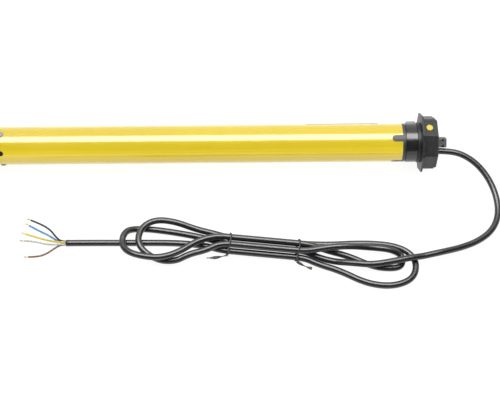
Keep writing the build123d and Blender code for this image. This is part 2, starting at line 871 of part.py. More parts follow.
def carrier(stage):
    """A carrier plate with its planets' pins, and the sun pinion that drives the next stage."""
    plate_x = stage_x[stage] - stage_gap - carrier_t
    body = disc(plate_x, carrier_t, carrier_d / 2)
    for angle in around(planet_count, planet_angle):
        body += disc(plate_x + carrier_t, stage_gap + planet_length, planet_pin_d / 2,
                     centre=polar(planet_orbit, angle))
    if stage + 1 < len(stage_names):
        sun_x = stage_x[stage + 1] + slide_fit
        body += wheel(sun_teeth, gear_module, sun_x, plate_x - sun_x, planet_angle)
    return single(body)


def output_carrier():
    """The last carrier with the output shaft, whose end is a hexagon for the drive adapter."""
    plate_x = ring_gear_x + stage_gap
    hex_x = adapter_x + retainer_head_t
    body = carrier(len(stage_names) - 1)
    body += disc(end_cap_x, plate_x - end_cap_x, output_shaft_d / 2)
    body += spun(adapter_turn, sided_bar(6, shaft_hex_flats, hex_x, end_cap_x - hex_x))
    return single(body - disc(hex_x, retainer_length, retainer_d / 2))


def ring_gear():
    length = brake_plate_x - ring_gear_x
    space = wheel_space(sun_teeth + 2 * planet_teeth, gear_module, ring_gear_x, length, planet_angle)
    return single(disc(ring_gear_x, length, fit_r) - space)


def output_bearing_places():
    return (end_cap_x, ring_gear_x - output_bearing_length - stage_gap)


def gearbox_end_cap():
    cap = disc(end_cap_x, end_cap_lip, tube_r) + disc(tube_drive_x, end_cap_length - end_cap_lip, fit_r)
    cap -= disc(end_cap_x, end_cap_length, output_shaft_d / 2 + face_gap)
    for x in output_bearing_places():
        cap -= disc(x, output_bearing_length, output_bearing_d / 2 + seat_fit)
    cap -= disc(end_cap_x + end_cap_web, end_cap_length - 2 * end_cap_web, fit_r - end_cap_wall)
    for angle in around(fixing_count, rivet_angle):
        cap -= radial_rod(rivet_hole_d / 2, tube_r - rivet_depth - face_gap, tube_d, fixing_x, angle)
    for angle in around(fixing_count, plug_angle):
        cap -= radial_rod(plug_hole_d / 2, bore_r - plug_depth, tube_d, fixing_x, angle)
    return single(cap)


def output_bearings():
    return group([disc(x, output_bearing_length, output_bearing_d / 2, output_shaft_d / 2 + shaft_fit)
                  for x in output_bearing_places()])


# Drive adapter for an eight-sided winding shaft, and the screw that keeps it on
def drive_adapter():
    inner_flats = adapter_flats - 2 * adapter_rim
    body = sided_bar(8, adapter_flats, adapter_x, adapter_length)
    body -= sided_bar(8, inner_flats, adapter_x, adapter_length)
    body += sided_bar(8, inner_flats + adapter_rim, adapter_x + (adapter_length - adapter_web_t) / 2,
                      adapter_web_t)
    body += disc(adapter_x, adapter_length, adapter_hub_d / 2)
    rib_start = adapter_hub_d / 2 - overrun
    rib = block(adapter_x + adapter_rim / 2, adapter_length - adapter_rim, rib_start,
                inner_flats / 2 + adapter_rim / 2 - rib_start, -adapter_rib_t / 2, adapter_rib_t)
    body += [spun(angle, rib) for angle in around(8)]
    body -= sided_bar(6, shaft_hex_flats + slide_fit, adapter_x, adapter_length)
    body -= disc(adapter_x, retainer_head_t, retainer_head_d / 2 + slide_fit)
    return single(spun(adapter_turn, body))


def adapter_screw():
    head = disc(adapter_x, retainer_head_t - seat_fit, retainer_head_d / 2)
    shank_x = adapter_x + retainer_head_t - seat_fit
    shank = disc(shank_x, retainer_length - face_gap, retainer_d / 2 - seat_fit)
    return single(head + shank - sided_bar(6, retainer_socket_flats, adapter_x, retainer_head_t / 2))


# Supply cable: free stretches are straight runs joined by arcs
def from_head(points):
    """Route points, given from the tube's head end and above the floor, as places from the axis."""
    return [Vector(x + tube_head_x, y, z - axis_z) for x, y, z in points]


def bend_radii(points):
    """For each inner point, 0.45 of its shorter run over the tangent of half its turn."""
    run_share = 0.45
    radii = []
    for before, here, after in zip(points, points[1:], points[2:]):
        shorter = min((here - before).length, (after - here).length)
        half_turn = math.radians((here - before).get_angle(after - here)) / 2
        radii.append(run_share * shorter / math.tan(half_turn))
    return radii


def free_tube(name, points, diameter):
    """A round tube along the route, its volume printed as a share of section times length."""
    radii = bend_radii(points)
    edges = FilletPolyline(*points, radius=radii).edges()
    path = Wire(edges)
    tube = tube_along(path.order_edges(), diameter)
    volume_share = tube.volume / (math.pi * diameter ** 2 / 4 * path.length)
    print(name, "length", round(path.length, 1), "volume share", round(volume_share, 4),
          "radii in diameters", [round(radius / diameter, 1) for radius in radii])
    return tube


def hank_place(along, across, height):
    """A place of the hank, given along and across its waist and above the floor."""
    turn = math.radians(hank_turn)
    x = hank_x + along * math.cos(turn) - across * math.sin(turn)
    y = hank_y + along * math.sin(turn) + across * math.cos(turn)
    return Vector(x + tube_head_x, y, height - axis_z)


def hank_node(along, across, storeys, heading, lift=0.0):
    """A place on the hank's route and the level direction that it has there."""
    turn = math.radians(heading + hank_turn)
    place = hank_place(along, across, cable_d / 2 + storeys * storey + lift)
    return place, Vector(math.cos(turn), math.sin(turn), 0)


# Each row of a route: along the hank, across it, storeys up, and the heading in degrees
lead_in_route = [(188, 6.5, 0.85, 200), (160, -3.4, 1.14, 199), (112, -14, 1.02, 180), (70, -7.6, 0, 168)]
tail_route = [(-76, -4.2, 0, 180), (-176, -12.2, 0, 186)]

# The five strands through the ties, in the order that the cable takes: steps across, storeys up
strand_shares = [(0, 0), (0.5, 1), (-0.5, 1), (1, 0), (-1, 0)]

# The lobes between them. Each turn has its start, tip and end, and some have a flare on one side or
# both: outward along the hank, across it, storeys up, and for a flare its spread in degrees
lobes = [
    {"flare_out": (66, 4.8, 0, -9), "turn": ((137, 10.5, 0), (161.5, -9.5, 1.05), (132, -33, 1.6))},
    {"flare_out": (82, 0.4, 0.36, -11), "turn": ((142, -12, 0), (159, -1.5, 0), (136, 9.5, 0.8)),
     "flare_in": (82, 1.8, 1.72, 11)},
    {"flare_out": (74, -18.5, 1, 21), "turn": ((108, -31, 0.45), (143.5, -4, 1.1), (119, 19.5, 1)),
     "flare_in": (66, 13.3, 0.15, -9)},
    {"turn": ((140, 18.5, 0), (174.5, -7.5, 0), (139, -34.7, 0)), "flare_in": (72, -17, 0, -13)},
]


def lobe_nodes(side, lobe):
    """A lobe's nodes: out from the waist, round its tip and back."""
    leaving = 90 - 90 * side
    start, tip, end = lobe["turn"]
    tip_heading = 90 if end[1] > start[1] else 270
    nodes = []
    if "flare_out" in lobe:
        along, across, storeys, spread = lobe["flare_out"]
        nodes.append(hank_node(side * along, across, storeys, leaving + spread))
    for (along, across, storeys), heading in ((start, leaving), (tip, tip_heading), (end, leaving + 180)):
        nodes.append(hank_node(side * along, across, storeys, heading))
    if "flare_in" in lobe:
        along, across, storeys, spread = lobe["flare_in"]
        nodes.append(hank_node(side * along, across, storeys, leaving + 180 + spread))
    return nodes


def hank_nodes():
    """The whole route: the lead-in, then each strand through the ties with the lobe that it ends in."""
    nodes = [hank_node(*row) for row in lead_in_route]
    for k, (steps, storeys) in enumerate(strand_shares):
        side = 1 if k % 2 else -1
        for along in (-side * waist_half, side * waist_half):
            nodes.append(hank_node(along, steps * strand_step, storeys, 90 - 90 * side, tie_lift))
        if k < len(lobes):
            nodes += lobe_nodes(side, lobes[k])
    return nodes + [hank_node(*row) for row in tail_route]


def least_gap(edges, diameter, apart):
    """The least gap between stretches of a tube that are further apart than this along it."""
    samples = 16
    points = []
    travelled = 0.0
    for edge in edges:
        for k in range(samples):
            place = edge @ (k / samples)
            points.append((travelled + edge.length * k / samples, place.X, place.Y, place.Z))
        travelled += edge.length
    pairs = ((a, b) for i, a in enumerate(points) for b in points[i + 1:] if b[0] - a[0] > apart)
    return min(math.dist(a[1:], b[1:]) for a, b in pairs) - diameter


def cable_hank():
    """The cable's tied figure-of-eight hank, as one unbroken tube."""
    edges = arc_path(hank_nodes())
    hank = tube_along(edges, cable_d)
    length = sum(edge.length for edge in edges)
    bends = [edge.radius for edge in edges if edge.geom_type == GeomType.CIRCLE]
    volume_share = hank.volume / (math.pi * cable_d ** 2 / 4 * length)
    print("cable_hank length", round(length, 1), "volume share", round(volume_share, 4),
          "least gap", round(least_gap(edges, cable_d, 5 * cable_d), 2),
          "tightest bends", sorted(round(bend, 1) for bend in bends)[:4])
    return hank


def cable_lead():
    """The cable from the grommet down to the floor and round to the hank."""
    exit_y = polar(cable_offset, cable_angle).Y
    start, heading = hank_nodes()[0]
    points = from_head([
        (head_length - cable_seat_depth, exit_y, axis_z + exit_y), (54, exit_y, axis_z + exit_y),
        (73, -11.5, 24.6), (91, -23.5, 19.5), (104, -41, 12.5), (111, -62.5, 6.5), (110.5, -85, 3.9),
        (101, -105, 3.75), (83.5, -119, 3.75), (62.5, -128, 4.6)])
    last_run = 20.0
    points += [start - heading * last_run, start]
    return free_tube("cable_lead", points, cable_d)


def sheath_end():
    """The end face of the cable's sheath: its middle and the way that it faces."""
    middle = from_head([(-390.7, -117.2, cable_d / 2)])[0]
    start, heading = hank_nodes()[-1]
    bend = start + heading * ((middle - start).length / 2)
    return middle, (middle - bend).normalized(), bend


def cable_tail():
    middle, _, bend = sheath_end()
    return free_tube("cable_tail", [hank_nodes()[-1][0], bend, middle], cable_d)


# The cores: each one's place round the cable's middle, then its route after the first run
core_routes = {
    "wire_black": (18, [
        (-404, -108.6, 3.3), (-411.5, -97.8, 1.4), (-422.5, -90, 1.1), (-435.2, -84.3, 1.1)]),
    "wire_blue": (-54, [
        (-404.5, -111.5, 1.9), (-413.5, -104.6, 1.1), (-425, -98.8, 1.1), (-436.7, -91.6, 1.1)]),
    "wire_green_yellow": (90, [
        (-405.5, -115.4, 4.2), (-416, -111.4, 1.6), (-427.5, -107.4, 1.1), (-439.7, -103, 1.1)]),
    "wire_white": (162, [
        (-405.5, -119.4, 4), (-416, -117.2, 1.5), (-428.5, -113, 1.1), (-440.6, -112.2, 1.1)]),
    "wire_brown": (234, [
        (-404, -122.3, 1.6), (-412.5, -129.3, 1.1), (-422.5, -133.6, 1.1), (-433.8, -133.6, 1.1)]),
}


def core_points(name):
    """A core's whole route, its first run square to the end of the sheath."""
    middle, facing, _ = sheath_end()
    angle, route = core_routes[name]
    side = Vector(0, 0, 1).cross(facing)
    turn = math.radians(angle)
    offset = side * (-math.cos(turn)) + Vector(0, 0, 1) * math.sin(turn)
    start = middle + offset * (core_circle_d / 2)
    return [start, start + facing * (3 * core_d), *from_head(route)]


def core_wire(name):
    return free_tube(name, core_points(name), core_d)


def bare_conductors():
    """The stripped end of each core."""
    ends = []
    for name in core_routes:
        *_, before, end = core_points(name)
        plane = Plane(origin=end, z_dir=(end - before).normalized())
        ends.append(Solid.make_cylinder(conductor_d / 2, conductor_length, plane))
    return group(ends)


# Twist ties: a band round the five strands and the twisted ends
tie_ends = {
    -1: [(-12, -18.6), (-24, -19.4)],
    1: [(9, -19.6), (18, -20.4)],
}


def tie_band(side):
    strand_r = cable_d / 2
    low = strand_r + tie_lift
    waist_steps = max(steps for steps, _ in strand_shares)
    top_steps = max(steps for steps, storeys in strand_shares if storeys)
    corners = [(-waist_steps, low), (waist_steps, low), (top_steps, low + storey), (-top_steps, low + storey)]
    x = side * waist_half - tie_width / 2
    places = [(x, steps * strand_step, height) for steps, height in corners]
    outline = make_face(Polyline(*places, close=True))
    flat = Plane(origin=(x, 0, 0), x_dir=(0, 1, 0), z_dir=(1, 0, 0))
    local = flat.to_local_coords(outline)
    outer = offset(local, amount=strand_r + tie_fit + tie_t, kind=Kind.ARC)
    inner = offset(local, amount=strand_r + tie_fit, kind=Kind.ARC)
    return extrude(flat * (outer - inner), tie_width)


def twist_ties():
    """Both ties, modelled along the hank's own middle line and then laid in place."""
    ties = []
    for side, ends in tie_ends.items():
        band = tie_band(side)
        reach = strand_step + cable_d / 2 + tie_fit + tie_twist_d / 2
        low = cable_d / 2 + tie_lift
        places = [Vector(side * waist_half, -reach, low)]
        height = tie_twist_d / 2 + tie_t
        places += [Vector(side * waist_half + along, across, height) for along, across in ends]
        runs = []
        for start, end in zip(places, places[1:]):
            plane = Plane(origin=start, z_dir=(end - start).normalized())
            runs.append(Solid.make_cylinder(tie_twist_d / 2, (end - start).length, plane))
        knuckles = [Pos(place) * Sphere(tie_twist_d / 2) for place in places[1:-1]]
        ties.append(band + runs + knuckles)
    at_hank = hank_place(0, 0, 0)
    return group([Pos(at_hank) * Rot(0, 0, hank_turn) * tie for tie in ties])


nodes = {
    "motor_tube": motor_tube, "tube_rivets": tube_rivets, "locating_plugs": locating_plugs,
    "type_label": type_label, "head_insert": head_insert, "running_ring": running_ring,
    "counter_pinion": counter_pinion, "head_housing": head_housing, "head_end_cover": head_end_cover,
    "mounting_spigot": mounting_spigot, "cable_grommet": cable_grommet, "neck_screws": neck_screws,
    "cover_screws": cover_screws, "setting_button": setting_button, "button_spring": button_spring,
    "setting_switch": setting_switch, "control_board": control_board, "run_capacitor": run_capacitor,
    "capacitor_rings": capacitor_rings, "rear_end_shield": rear_end_shield,
    "front_end_shield": front_end_shield, "rotor_bearings": rotor_bearings, "stator_core": stator_core,
    "stator_windings": stator_windings, "rotor_core": rotor_core, "rotor_shaft": rotor_shaft,
    "brake_coil_pot": brake_coil_pot, "brake_coil": brake_coil, "brake_spring": brake_spring,
    "brake_armature": brake_armature, "brake_disc": brake_disc, "friction_plate": friction_plate,
    "ring_gear": ring_gear, "first_carrier": lambda: carrier(0), "second_carrier": lambda: carrier(1),
    "output_carrier": output_carrier, "gearbox_end_cap": gearbox_end_cap,
    "output_bearings": output_bearings, "drive_adapter": drive_adapter, "adapter_screw": adapter_screw,
    "cable_lead": cable_lead, "cable_hank": cable_hank, "cable_tail": cable_tail,
    "bare_conductors": bare_conductors, "twist_ties": twist_ties,
}
for stage, stage_name in enumerate(stage_names):
    for number, angle in enumerate(around(planet_count, planet_angle), start=1):
        nodes[f"{stage_name}_planet_{number}"] = lambda stage=stage, angle=angle: planet(stage, angle)
for core in core_routes:
    nodes[core] = lambda core=core: core_wire(core)

os.makedirs("parts", exist_ok=True)
for name, make in nodes.items():
    export_step(Pos(0, 0, axis_z) * make(), f"parts/{name}.step")
print(len(nodes), "nodes")
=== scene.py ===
"""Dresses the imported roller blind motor: its supply cable and ties, the stripped cores, every finish,
the studio light and the camera.

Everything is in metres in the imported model's frame. The motor lies along X with its head at +X, on a
floor at Z 0. Routes are given from the tube's head end, from the motor's axis and above the floor.
"""
import math
import random

import bpy
from mathutils import Euler, Matrix, Vector


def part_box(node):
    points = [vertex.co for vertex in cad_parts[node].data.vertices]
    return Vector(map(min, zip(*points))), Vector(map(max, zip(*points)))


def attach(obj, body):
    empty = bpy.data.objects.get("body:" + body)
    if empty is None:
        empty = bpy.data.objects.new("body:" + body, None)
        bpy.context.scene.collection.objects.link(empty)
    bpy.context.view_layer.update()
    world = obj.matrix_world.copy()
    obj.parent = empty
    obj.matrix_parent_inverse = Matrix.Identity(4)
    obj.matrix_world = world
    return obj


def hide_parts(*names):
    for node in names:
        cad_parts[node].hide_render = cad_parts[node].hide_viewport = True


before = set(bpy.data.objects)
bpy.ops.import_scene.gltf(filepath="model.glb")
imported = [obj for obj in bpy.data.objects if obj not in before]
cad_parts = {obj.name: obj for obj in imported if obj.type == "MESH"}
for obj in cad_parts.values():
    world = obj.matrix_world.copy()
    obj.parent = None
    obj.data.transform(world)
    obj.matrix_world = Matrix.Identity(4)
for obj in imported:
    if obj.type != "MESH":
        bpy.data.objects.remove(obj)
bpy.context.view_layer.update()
random.seed(7)

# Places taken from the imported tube
tube_low, tube_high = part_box("motor_tube")
tube_head_x = tube_high.x
axis_y = (tube_low.y + tube_high.y) / 2
axis_z = (tube_low.z + tube_high.z) / 2
housing = "motor_body"

# Camera, as the photograph has it
camera_place = (0.04835, -0.8237, 1.1928)
camera_tilt = 32.7
camera_roll = -0.48
camera_lens = 86.4
camera_sensor = 36.0
camera_reach = 50.0

# Studio
softbox_length = 1.36
softbox_width = 0.70
softbox_place = (-0.10, 0.04, 1.2)
softbox_watts = 24.4
fill_length = 2.4
fill_place = (0.0, 0.04, 1.2)
fill_watts = 17.6
sky_strength = 0.62
mirror_behind = 1.0
mirror_before = 0.08
wall_foot = 0.1
wall_top = 0.5
floor_side = 8.0
floor_glow = 0.92
floor_bounce = 0.45

# How finely curves and meshes are cut
curve_steps = 24
curve_rounding = 6
core_sides = 24
strand_sides = 6
rim_sides = 40

# The angle in degrees from which an edge stays sharp, how unlike two directions are where a route bends,
# and the upward share of a direction from which it counts as upright
sharp_angle = 50
least_bend = 1e-6
upright_share = 0.9

# Supply cable
cable_d = 0.0075
exit_x = 0.04055
exit_y = -0.0074246
seat_depth = 0.006
lead_route = [(0.054, exit_y, axis_z + exit_y), (0.073, -0.0115, 0.0246), (0.091, -0.0235, 0.0195),
              (0.104, -0.041, 0.0125), (0.111, -0.0625, 0.0065), (0.1105, -0.085, 0.0039),
              (0.101, -0.105, 0.00375), (0.0835, -0.119, 0.00375), (0.0625, -0.128, 0.0046)]
last_run = 0.020

# The hank: its middle, its turn about Z in degrees, its waist, and the strands through the ties in steps
# across and storeys up. A route's point lies along and across the hank and storeys up, with its heading
# in degrees
hank_x = -0.164
hank_y = -0.1256
hank_turn = -6.6
waist_half = 0.0395
strand_step = 0.0092
storey = 0.0081
tie_lift = 0.0013
lead_in_route = [(0.188, 0.0065, 0.85, 200), (0.160, -0.0034, 1.14, 199), (0.112, -0.014, 1.02, 180),
                 (0.070, -0.0076, 0, 168)]
tail_route = [(-0.076, -0.0042, 0, 180), (-0.176, -0.0122, 0, 186)]
strand_shares = [(0, 0), (0.5, 1), (-0.5, 1), (1, 0), (-1, 0)]

# Lobes between the strands. A turn has its start, tip and end, and a flare its spread in degrees:
# outward along the hank, across it, storeys up
lobes = [
    {"flare_out": (0.066, 0.0048, 0, -9),
     "turn": ((0.137, 0.0105, 0), (0.1615, -0.0095, 1.05), (0.132, -0.033, 1.6))},
    {"flare_out": (0.082, 0.0004, 0.36, -11),
     "turn": ((0.142, -0.012, 0), (0.159, -0.0015, 0), (0.136, 0.0095, 0.8)),
     "flare_in": (0.082, 0.0018, 1.72, 11)},
    {"flare_out": (0.074, -0.0185, 1, 21),
     "turn": ((0.108, -0.031, 0.45), (0.1435, -0.004, 1.1), (0.119, 0.0195, 1)),
     "flare_in": (0.066, 0.0133, 0.15, -9)},
    {"turn": ((0.140, 0.0185, 0), (0.1745, -0.0075, 0), (0.139, -0.0347, 0)),
     "flare_in": (0.072, -0.017, 0, -13)},
]

# The spigot's cross holes, and how far past their walls the painted shade in them reaches
cross_hole_d = 0.0028
cross_hole_spacing = 0.0072
cross_hole_inset = 0.0047
cross_hole_reach = 1.02

# Stripped end: the sheath's end face, and each core's turn round it in degrees, its length and its route
sheath_end = (-0.3907, -0.1172, cable_d / 2)
core_d = 0.0022
core_circle_d = 0.0039
core_first_run = 3 * core_d
core_routes = {
    "black": (18, 0.0563, [(-0.404, -0.1086, 0.0033), (-0.4115, -0.0978, 0.0014), (-0.4225, -0.090, 0.0011),
                           (-0.4352, -0.0843, 0.0011)]),
    "blue": (-54, 0.0529, [(-0.4045, -0.1115, 0.0019), (-0.4135, -0.1046, 0.0011),
                           (-0.425, -0.0988, 0.0011), (-0.4367, -0.0916, 0.0011)]),
    "green_yellow": (90, 0.0517, [(-0.4055, -0.1154, 0.0042), (-0.416, -0.1114, 0.0016),
                                  (-0.4275, -0.1074, 0.0011), (-0.4397, -0.103, 0.0011)]),
    "white": (162, 0.0510, [(-0.4055, -0.1194, 0.004), (-0.416, -0.1172, 0.0015),
                            (-0.4285, -0.113, 0.0011), (-0.4406, -0.1122, 0.0011)]),
    "brown": (234, 0.0472, [(-0.404, -0.1223, 0.0016), (-0.4125, -0.1293, 0.0011),
                            (-0.4225, -0.1336, 0.0011), (-0.4338, -0.1336, 0.0011)]),
}

# The earth core's stripe: its first side, how many sides it covers and its turn in degrees along the core
stripe_start = 13
stripe_sides = 5
stripe_turn = 36

# The cut rim of the sheath
rim_wall = 0.0009
rim_edge = rim_wall / 5
rim_out = 0.0008
rim_back = 0.003
rim_proud = 0.00006

# The bared strands, which wind by an angle in radians
bundle_d = 0.0010
strand_d = 0.00027
strand_length = 0.006
strand_splay = 0.00035
strand_winding = 1.3
strand_steps = 8
strand_root = core_d / 4
strand_reach_shares = (0.9, 1.0)
strand_splay_shares = (0.3, 1.6)

# Rings of strands in a bared end: the share of its radius, how many strands, and their shift in steps
strand_rings = [(0.0, 1, 0.0), (0.36, 5, 0.3), (0.74, 9, 0.1)]

# Wire ties: the band leans in degrees, and a tail's points lie along from its tie and across the hank
tie_width = 0.0024
tie_t = 0.0010
tie_film_t = 0.0003
tie_fit = 0.0003
tie_slant = 0.0020
tie_pitch = 0.0170
tie_wound_share = 0.55
tie_crest_share = 0.7
tie_shoulder_share = 0.75
band_steps = 8
band_lean = 15
tie_tails = {-1: [(-0.012, -0.0186), (-0.024, -0.0194)], 1: [(0.009, -0.0196), (0.018, -0.0204)]}

# The board's own share of its node's height, under what stands on it
board_share = 0.16

# The dimple in the button
dot_d = 0.0018
dot_depth = 0.00025
dot_lift = 0.00002
dot_sides = 32

# Finishes: the middle stretch of a noise that tells, the shares of mottle and grain in a skin's tone, a
# fleck from its rim to its core and how much it shows, where dust lies by slope and in patches, and how
# rough the cores' insulation is
noise_range = (0.3, 0.7)
mottle_share = 0.6
grain_share = 0.4
fleck_range = (0.45, 0.15)
fleck_strength = 0.6
dust_slopes = (0.2, 1.0)
dust_patches = (0.45, 0.75)
insulation_roughness = 0.36

# Marks in a metre of bare metal, along X, Y and Z
around_x = (1400.0, 30.0, 30.0)
along_x = (30.0, 1400.0, 1400.0)
cloudy = (900.0, 900.0, 900.0)
sheet_edges = (2600.0, 12.0, 12.0)
cast_grain = (600.0, 600.0, 600.0)
laid_wire = (1800.0, 260.0, 260.0)

# The sockets of a mixing node that hold its colours
mix_first = 6
mix_second = 7
mix_result = 2

# Colours, as linear light
plain_white = (1, 1, 1, 1)
floor_light = (0.15, 0.15, 0.15, 1)
floor_dark = (0.14, 0.14, 0.14, 1)
enamel_light = (0.95, 0.72, 0.018, 1)
enamel_dark = (0.91, 0.67, 0.013, 1)
charcoal_light = (0.034, 0.034, 0.036, 1)
charcoal_dark = (0.017, 0.017, 0.019, 1)
insert_light = (0.052, 0.052, 0.051, 1)
insert_dark = (0.028, 0.028, 0.028, 1)
glossy_light = (0.016, 0.016, 0.018, 1)
glossy_dark = (0.009, 0.009, 0.011, 1)
spigot_light = (0.20, 0.20, 0.198, 1)
spigot_dark = (0.14, 0.14, 0.14, 1)
# Painted shade: the black laid on the walls of the spigot's cross holes
painted_hole_shade = (0.002, 0.002, 0.002, 1)
fleck_grey = (0.20, 0.20, 0.205, 1)
dust_grey = (0.35, 0.34, 0.32, 1)
cover_light = (0.030, 0.030, 0.032, 1)
cover_dark = (0.018, 0.018, 0.020, 1)
button_light = (0.98, 0.74, 0.085, 1)
button_dark = (0.94, 0.70, 0.070, 1)
sheath_light = (0.0085, 0.0090, 0.0125, 1)
sheath_dark = (0.0045, 0.0048, 0.0070, 1)
tie_light = (0.070, 0.066, 0.056, 1)
tie_dark = (0.040, 0.037, 0.031, 1)
zinc_light = (0.78, 0.79, 0.80, 1)
zinc_dark = (0.58, 0.59, 0.61, 1)
rivet_light = (0.36, 0.36, 0.38, 1)
rivet_dark = (0.20, 0.20, 0.22, 1)
steel_light = (0.62, 0.63, 0.65, 1)
steel_dark = (0.42, 0.43, 0.45, 1)
stack_light = (0.48, 0.49, 0.51, 1)
stack_dark = (0.20, 0.21, 0.22, 1)
cast_light = (0.70, 0.71, 0.73, 1)
cast_dark = (0.55, 0.56, 0.58, 1)
winding_light = (0.68, 0.30, 0.12, 1)
winding_dark = (0.36, 0.13, 0.05, 1)
bare_copper_light = (0.66, 0.47, 0.17, 1)
bare_copper_dark = (0.42, 0.28, 0.10, 1)
board_light = (0.03, 0.20, 0.07, 1)
board_dark = (0.015, 0.12, 0.04, 1)
relay_black = (0.025, 0.025, 0.028, 1)
film_light = (0.085, 0.085, 0.083, 1)
film_dark = (0.070, 0.070, 0.068, 1)
white_light = (0.84, 0.84, 0.82, 1)
white_dark = (0.76, 0.76, 0.74, 1)
grey_light = (0.36, 0.37, 0.39, 1)
grey_dark = (0.29, 0.30, 0.32, 1)
dot_tan = (0.90, 0.62, 0.24, 1)
core_tones = {
    "black": ((0.030, 0.031, 0.034, 1), (0.018, 0.019, 0.021, 1)),
    "blue": ((0.11, 0.34, 0.72, 1), (0.08, 0.27, 0.62, 1)),
    "green_yellow": ((0.85, 0.68, 0.05, 1), (0.78, 0.60, 0.04, 1)),
    "white": ((0.66, 0.66, 0.65, 1), (0.58, 0.58, 0.57, 1)),
    "brown": ((0.26, 0.12, 0.065, 1), (0.19, 0.085, 0.045, 1)),
}
stripe_green = (0.06, 0.30, 0.06, 1)


# Camera and light
def make_camera():
    """The camera of the photograph: above the front of the motor, with a small roll."""
    data = bpy.data.cameras.new("camera")
    data.sensor_width = camera_sensor
    data.lens = camera_lens
    data.clip_end = camera_reach
    camera = bpy.data.objects.new("camera", data)
    turn = Euler((math.radians(camera_tilt), 0, 0)).to_matrix()
    turn = turn @ Matrix.Rotation(math.radians(camera_roll), 3, "Z")
    camera.matrix_world = Matrix.Translation(camera_place) @ turn.to_4x4()
    bpy.context.scene.collection.objects.link(camera)
    bpy.context.scene.camera = camera


def make_softbox(name, place, length, watts):
    """A long soft light over the motor, in line with it."""
    data = bpy.data.lights.new(name, "AREA")
    data.shape = "RECTANGLE"
    data.size = length
    data.size_y = softbox_width
    data.energy = watts
    light = bpy.data.objects.new(name, data)
    light.location = place
    bpy.context.scene.collection.objects.link(light)
    return light


def make_lights():
    """A hard bright strip that only gloss mirrors, and the soft fill that lights the colours."""
    strip = make_softbox("softbox", softbox_place, softbox_length, softbox_watts)
    strip.visible_diffuse = False
    fill = make_softbox("fill", fill_place, fill_length, fill_watts)
    fill.visible_glossy = False


def make_sky():
    """An even white room, which gloss mirrors with a pale wall behind and darkness before it."""
    world = bpy.data.worlds.new("white_room")
    world.use_nodes = True
    background = world.node_tree.nodes["Background"]
    background.inputs["Color"].default_value = plain_white
    tree = world.node_tree
    mirrored = add(tree, "ShaderNodeLightPath").outputs["Is Glossy Ray"]
    direction = add(tree, "ShaderNodeTexCoord").outputs["Generated"]
    depth = add(tree, "ShaderNodeSeparateXYZ", {"Vector": direction}).outputs["Y"]
    behind = stretched(tree, depth, wall_foot, wall_top)
    wall = reckon(tree, "MULTIPLY_ADD", behind, mirror_behind - mirror_before, mirror_before)
    change = reckon(tree, "MULTIPLY", mirrored, reckon(tree, "SUBTRACT", wall, sky_strength))
    feed(tree, reckon(tree, "ADD", change, sky_strength), background.inputs["Strength"])
    bpy.context.scene.world = world


def make_floor():
    """The plain white table that everything lies on."""
    half = floor_side / 2
    corners = [(-half, -half, 0), (half, -half, 0), (half, half, 0), (-half, half, 0)]
    mesh = bpy.data.meshes.new("studio_floor")
    mesh.from_pydata(corners, [], [(0, 1, 2, 3)])
    mesh.materials.append(studio_floor())
    floor = bpy.data.objects.new("studio_floor", mesh)
    bpy.context.scene.collection.objects.link(floor)


# Routes
def from_head(point):
    """A place given from the tube's head end, the axis and the floor."""
    x, y, z = point
    return Vector((tube_head_x + x, axis_y + y, z))


def hank_place(along, across, height):
    """A place of the hank, given along and across its waist and above the floor."""
    turn = math.radians(hank_turn)
    x = hank_x + along * math.cos(turn) - across * math.sin(turn)
    y = hank_y + along * math.sin(turn) + across * math.cos(turn)
    return from_head((x, y, height))


def hank_node(along, across, storeys, heading, lift=0.0):
    """A place on the hank's route and the level direction that the cable has there."""
    turn = math.radians(heading + hank_turn)
    place = hank_place(along, across, cable_d / 2 + storeys * storey + lift)
    return place, Vector((math.cos(turn), math.sin(turn), 0))


def lobe_nodes(side, lobe):
    """A lobe's nodes: out from the waist, round its tip and back."""
    leaving = 90 - 90 * side
    start, tip, end = lobe["turn"]
    tip_heading = 90 if end[1] > start[1] else 270
    nodes = []
    if "flare_out" in lobe:
        along, across, storeys, spread = lobe["flare_out"]
        nodes.append(hank_node(side * along, across, storeys, leaving + spread))
    for (along, across, storeys), heading in ((start, leaving), (tip, tip_heading), (end, leaving + 180)):
        nodes.append(hank_node(side * along, across, storeys, heading))
    if "flare_in" in lobe:
        along, across, storeys, spread = lobe["flare_in"]
        nodes.append(hank_node(side * along, across, storeys, leaving + 180 + spread))
    return nodes


def hank_nodes():
    """The hank's whole route: the lead-in, then each strand with the lobe that it ends in."""
    nodes = [hank_node(*row) for row in lead_in_route]
    for k, (steps, storeys) in enumerate(strand_shares):
        side = 1 if k % 2 else -1
        for along in (-side * waist_half, side * waist_half):
            nodes.append(hank_node(along, steps * strand_step, storeys, 90 - 90 * side, tie_lift))
        if k < len(lobes):
            nodes += lobe_nodes(side, lobes[k])
    return nodes + [hank_node(*row) for row in tail_route]


def turn_controls(start, leaving, end, arriving):
    """The two control points that carry a smooth curve from one place and direction to the next."""
    run = end - start
    a = 2 * (1 - leaving.dot(arriving))
    b = 2 * run.dot(leaving + arriving)
    if a < least_bend:
        reach = run.length_squared / b
    else:
        reach = (math.sqrt(b * b + 4 * a * run.length_squared) - b) / (2 * a)
    return [start + leaving * reach, end - arriving * reach]


def cable_controls():
    """The cable's control points, from inside the grommet to the end of its sheath."""
    nodes = hank_nodes()
    start, heading = nodes[0]
    controls = [from_head((exit_x - seat_depth, exit_y, axis_z + exit_y))]
    controls += [from_head(point) for point in lead_route]
    controls += [start - heading * last_run, start]
    for (here, leaving), (there, arriving) in zip(nodes, nodes[1:]):
        controls += turn_controls(here, leaving, there, arriving)
    middle, _, bend = sheath_place()
    return controls + [nodes[-1][0], bend, middle]


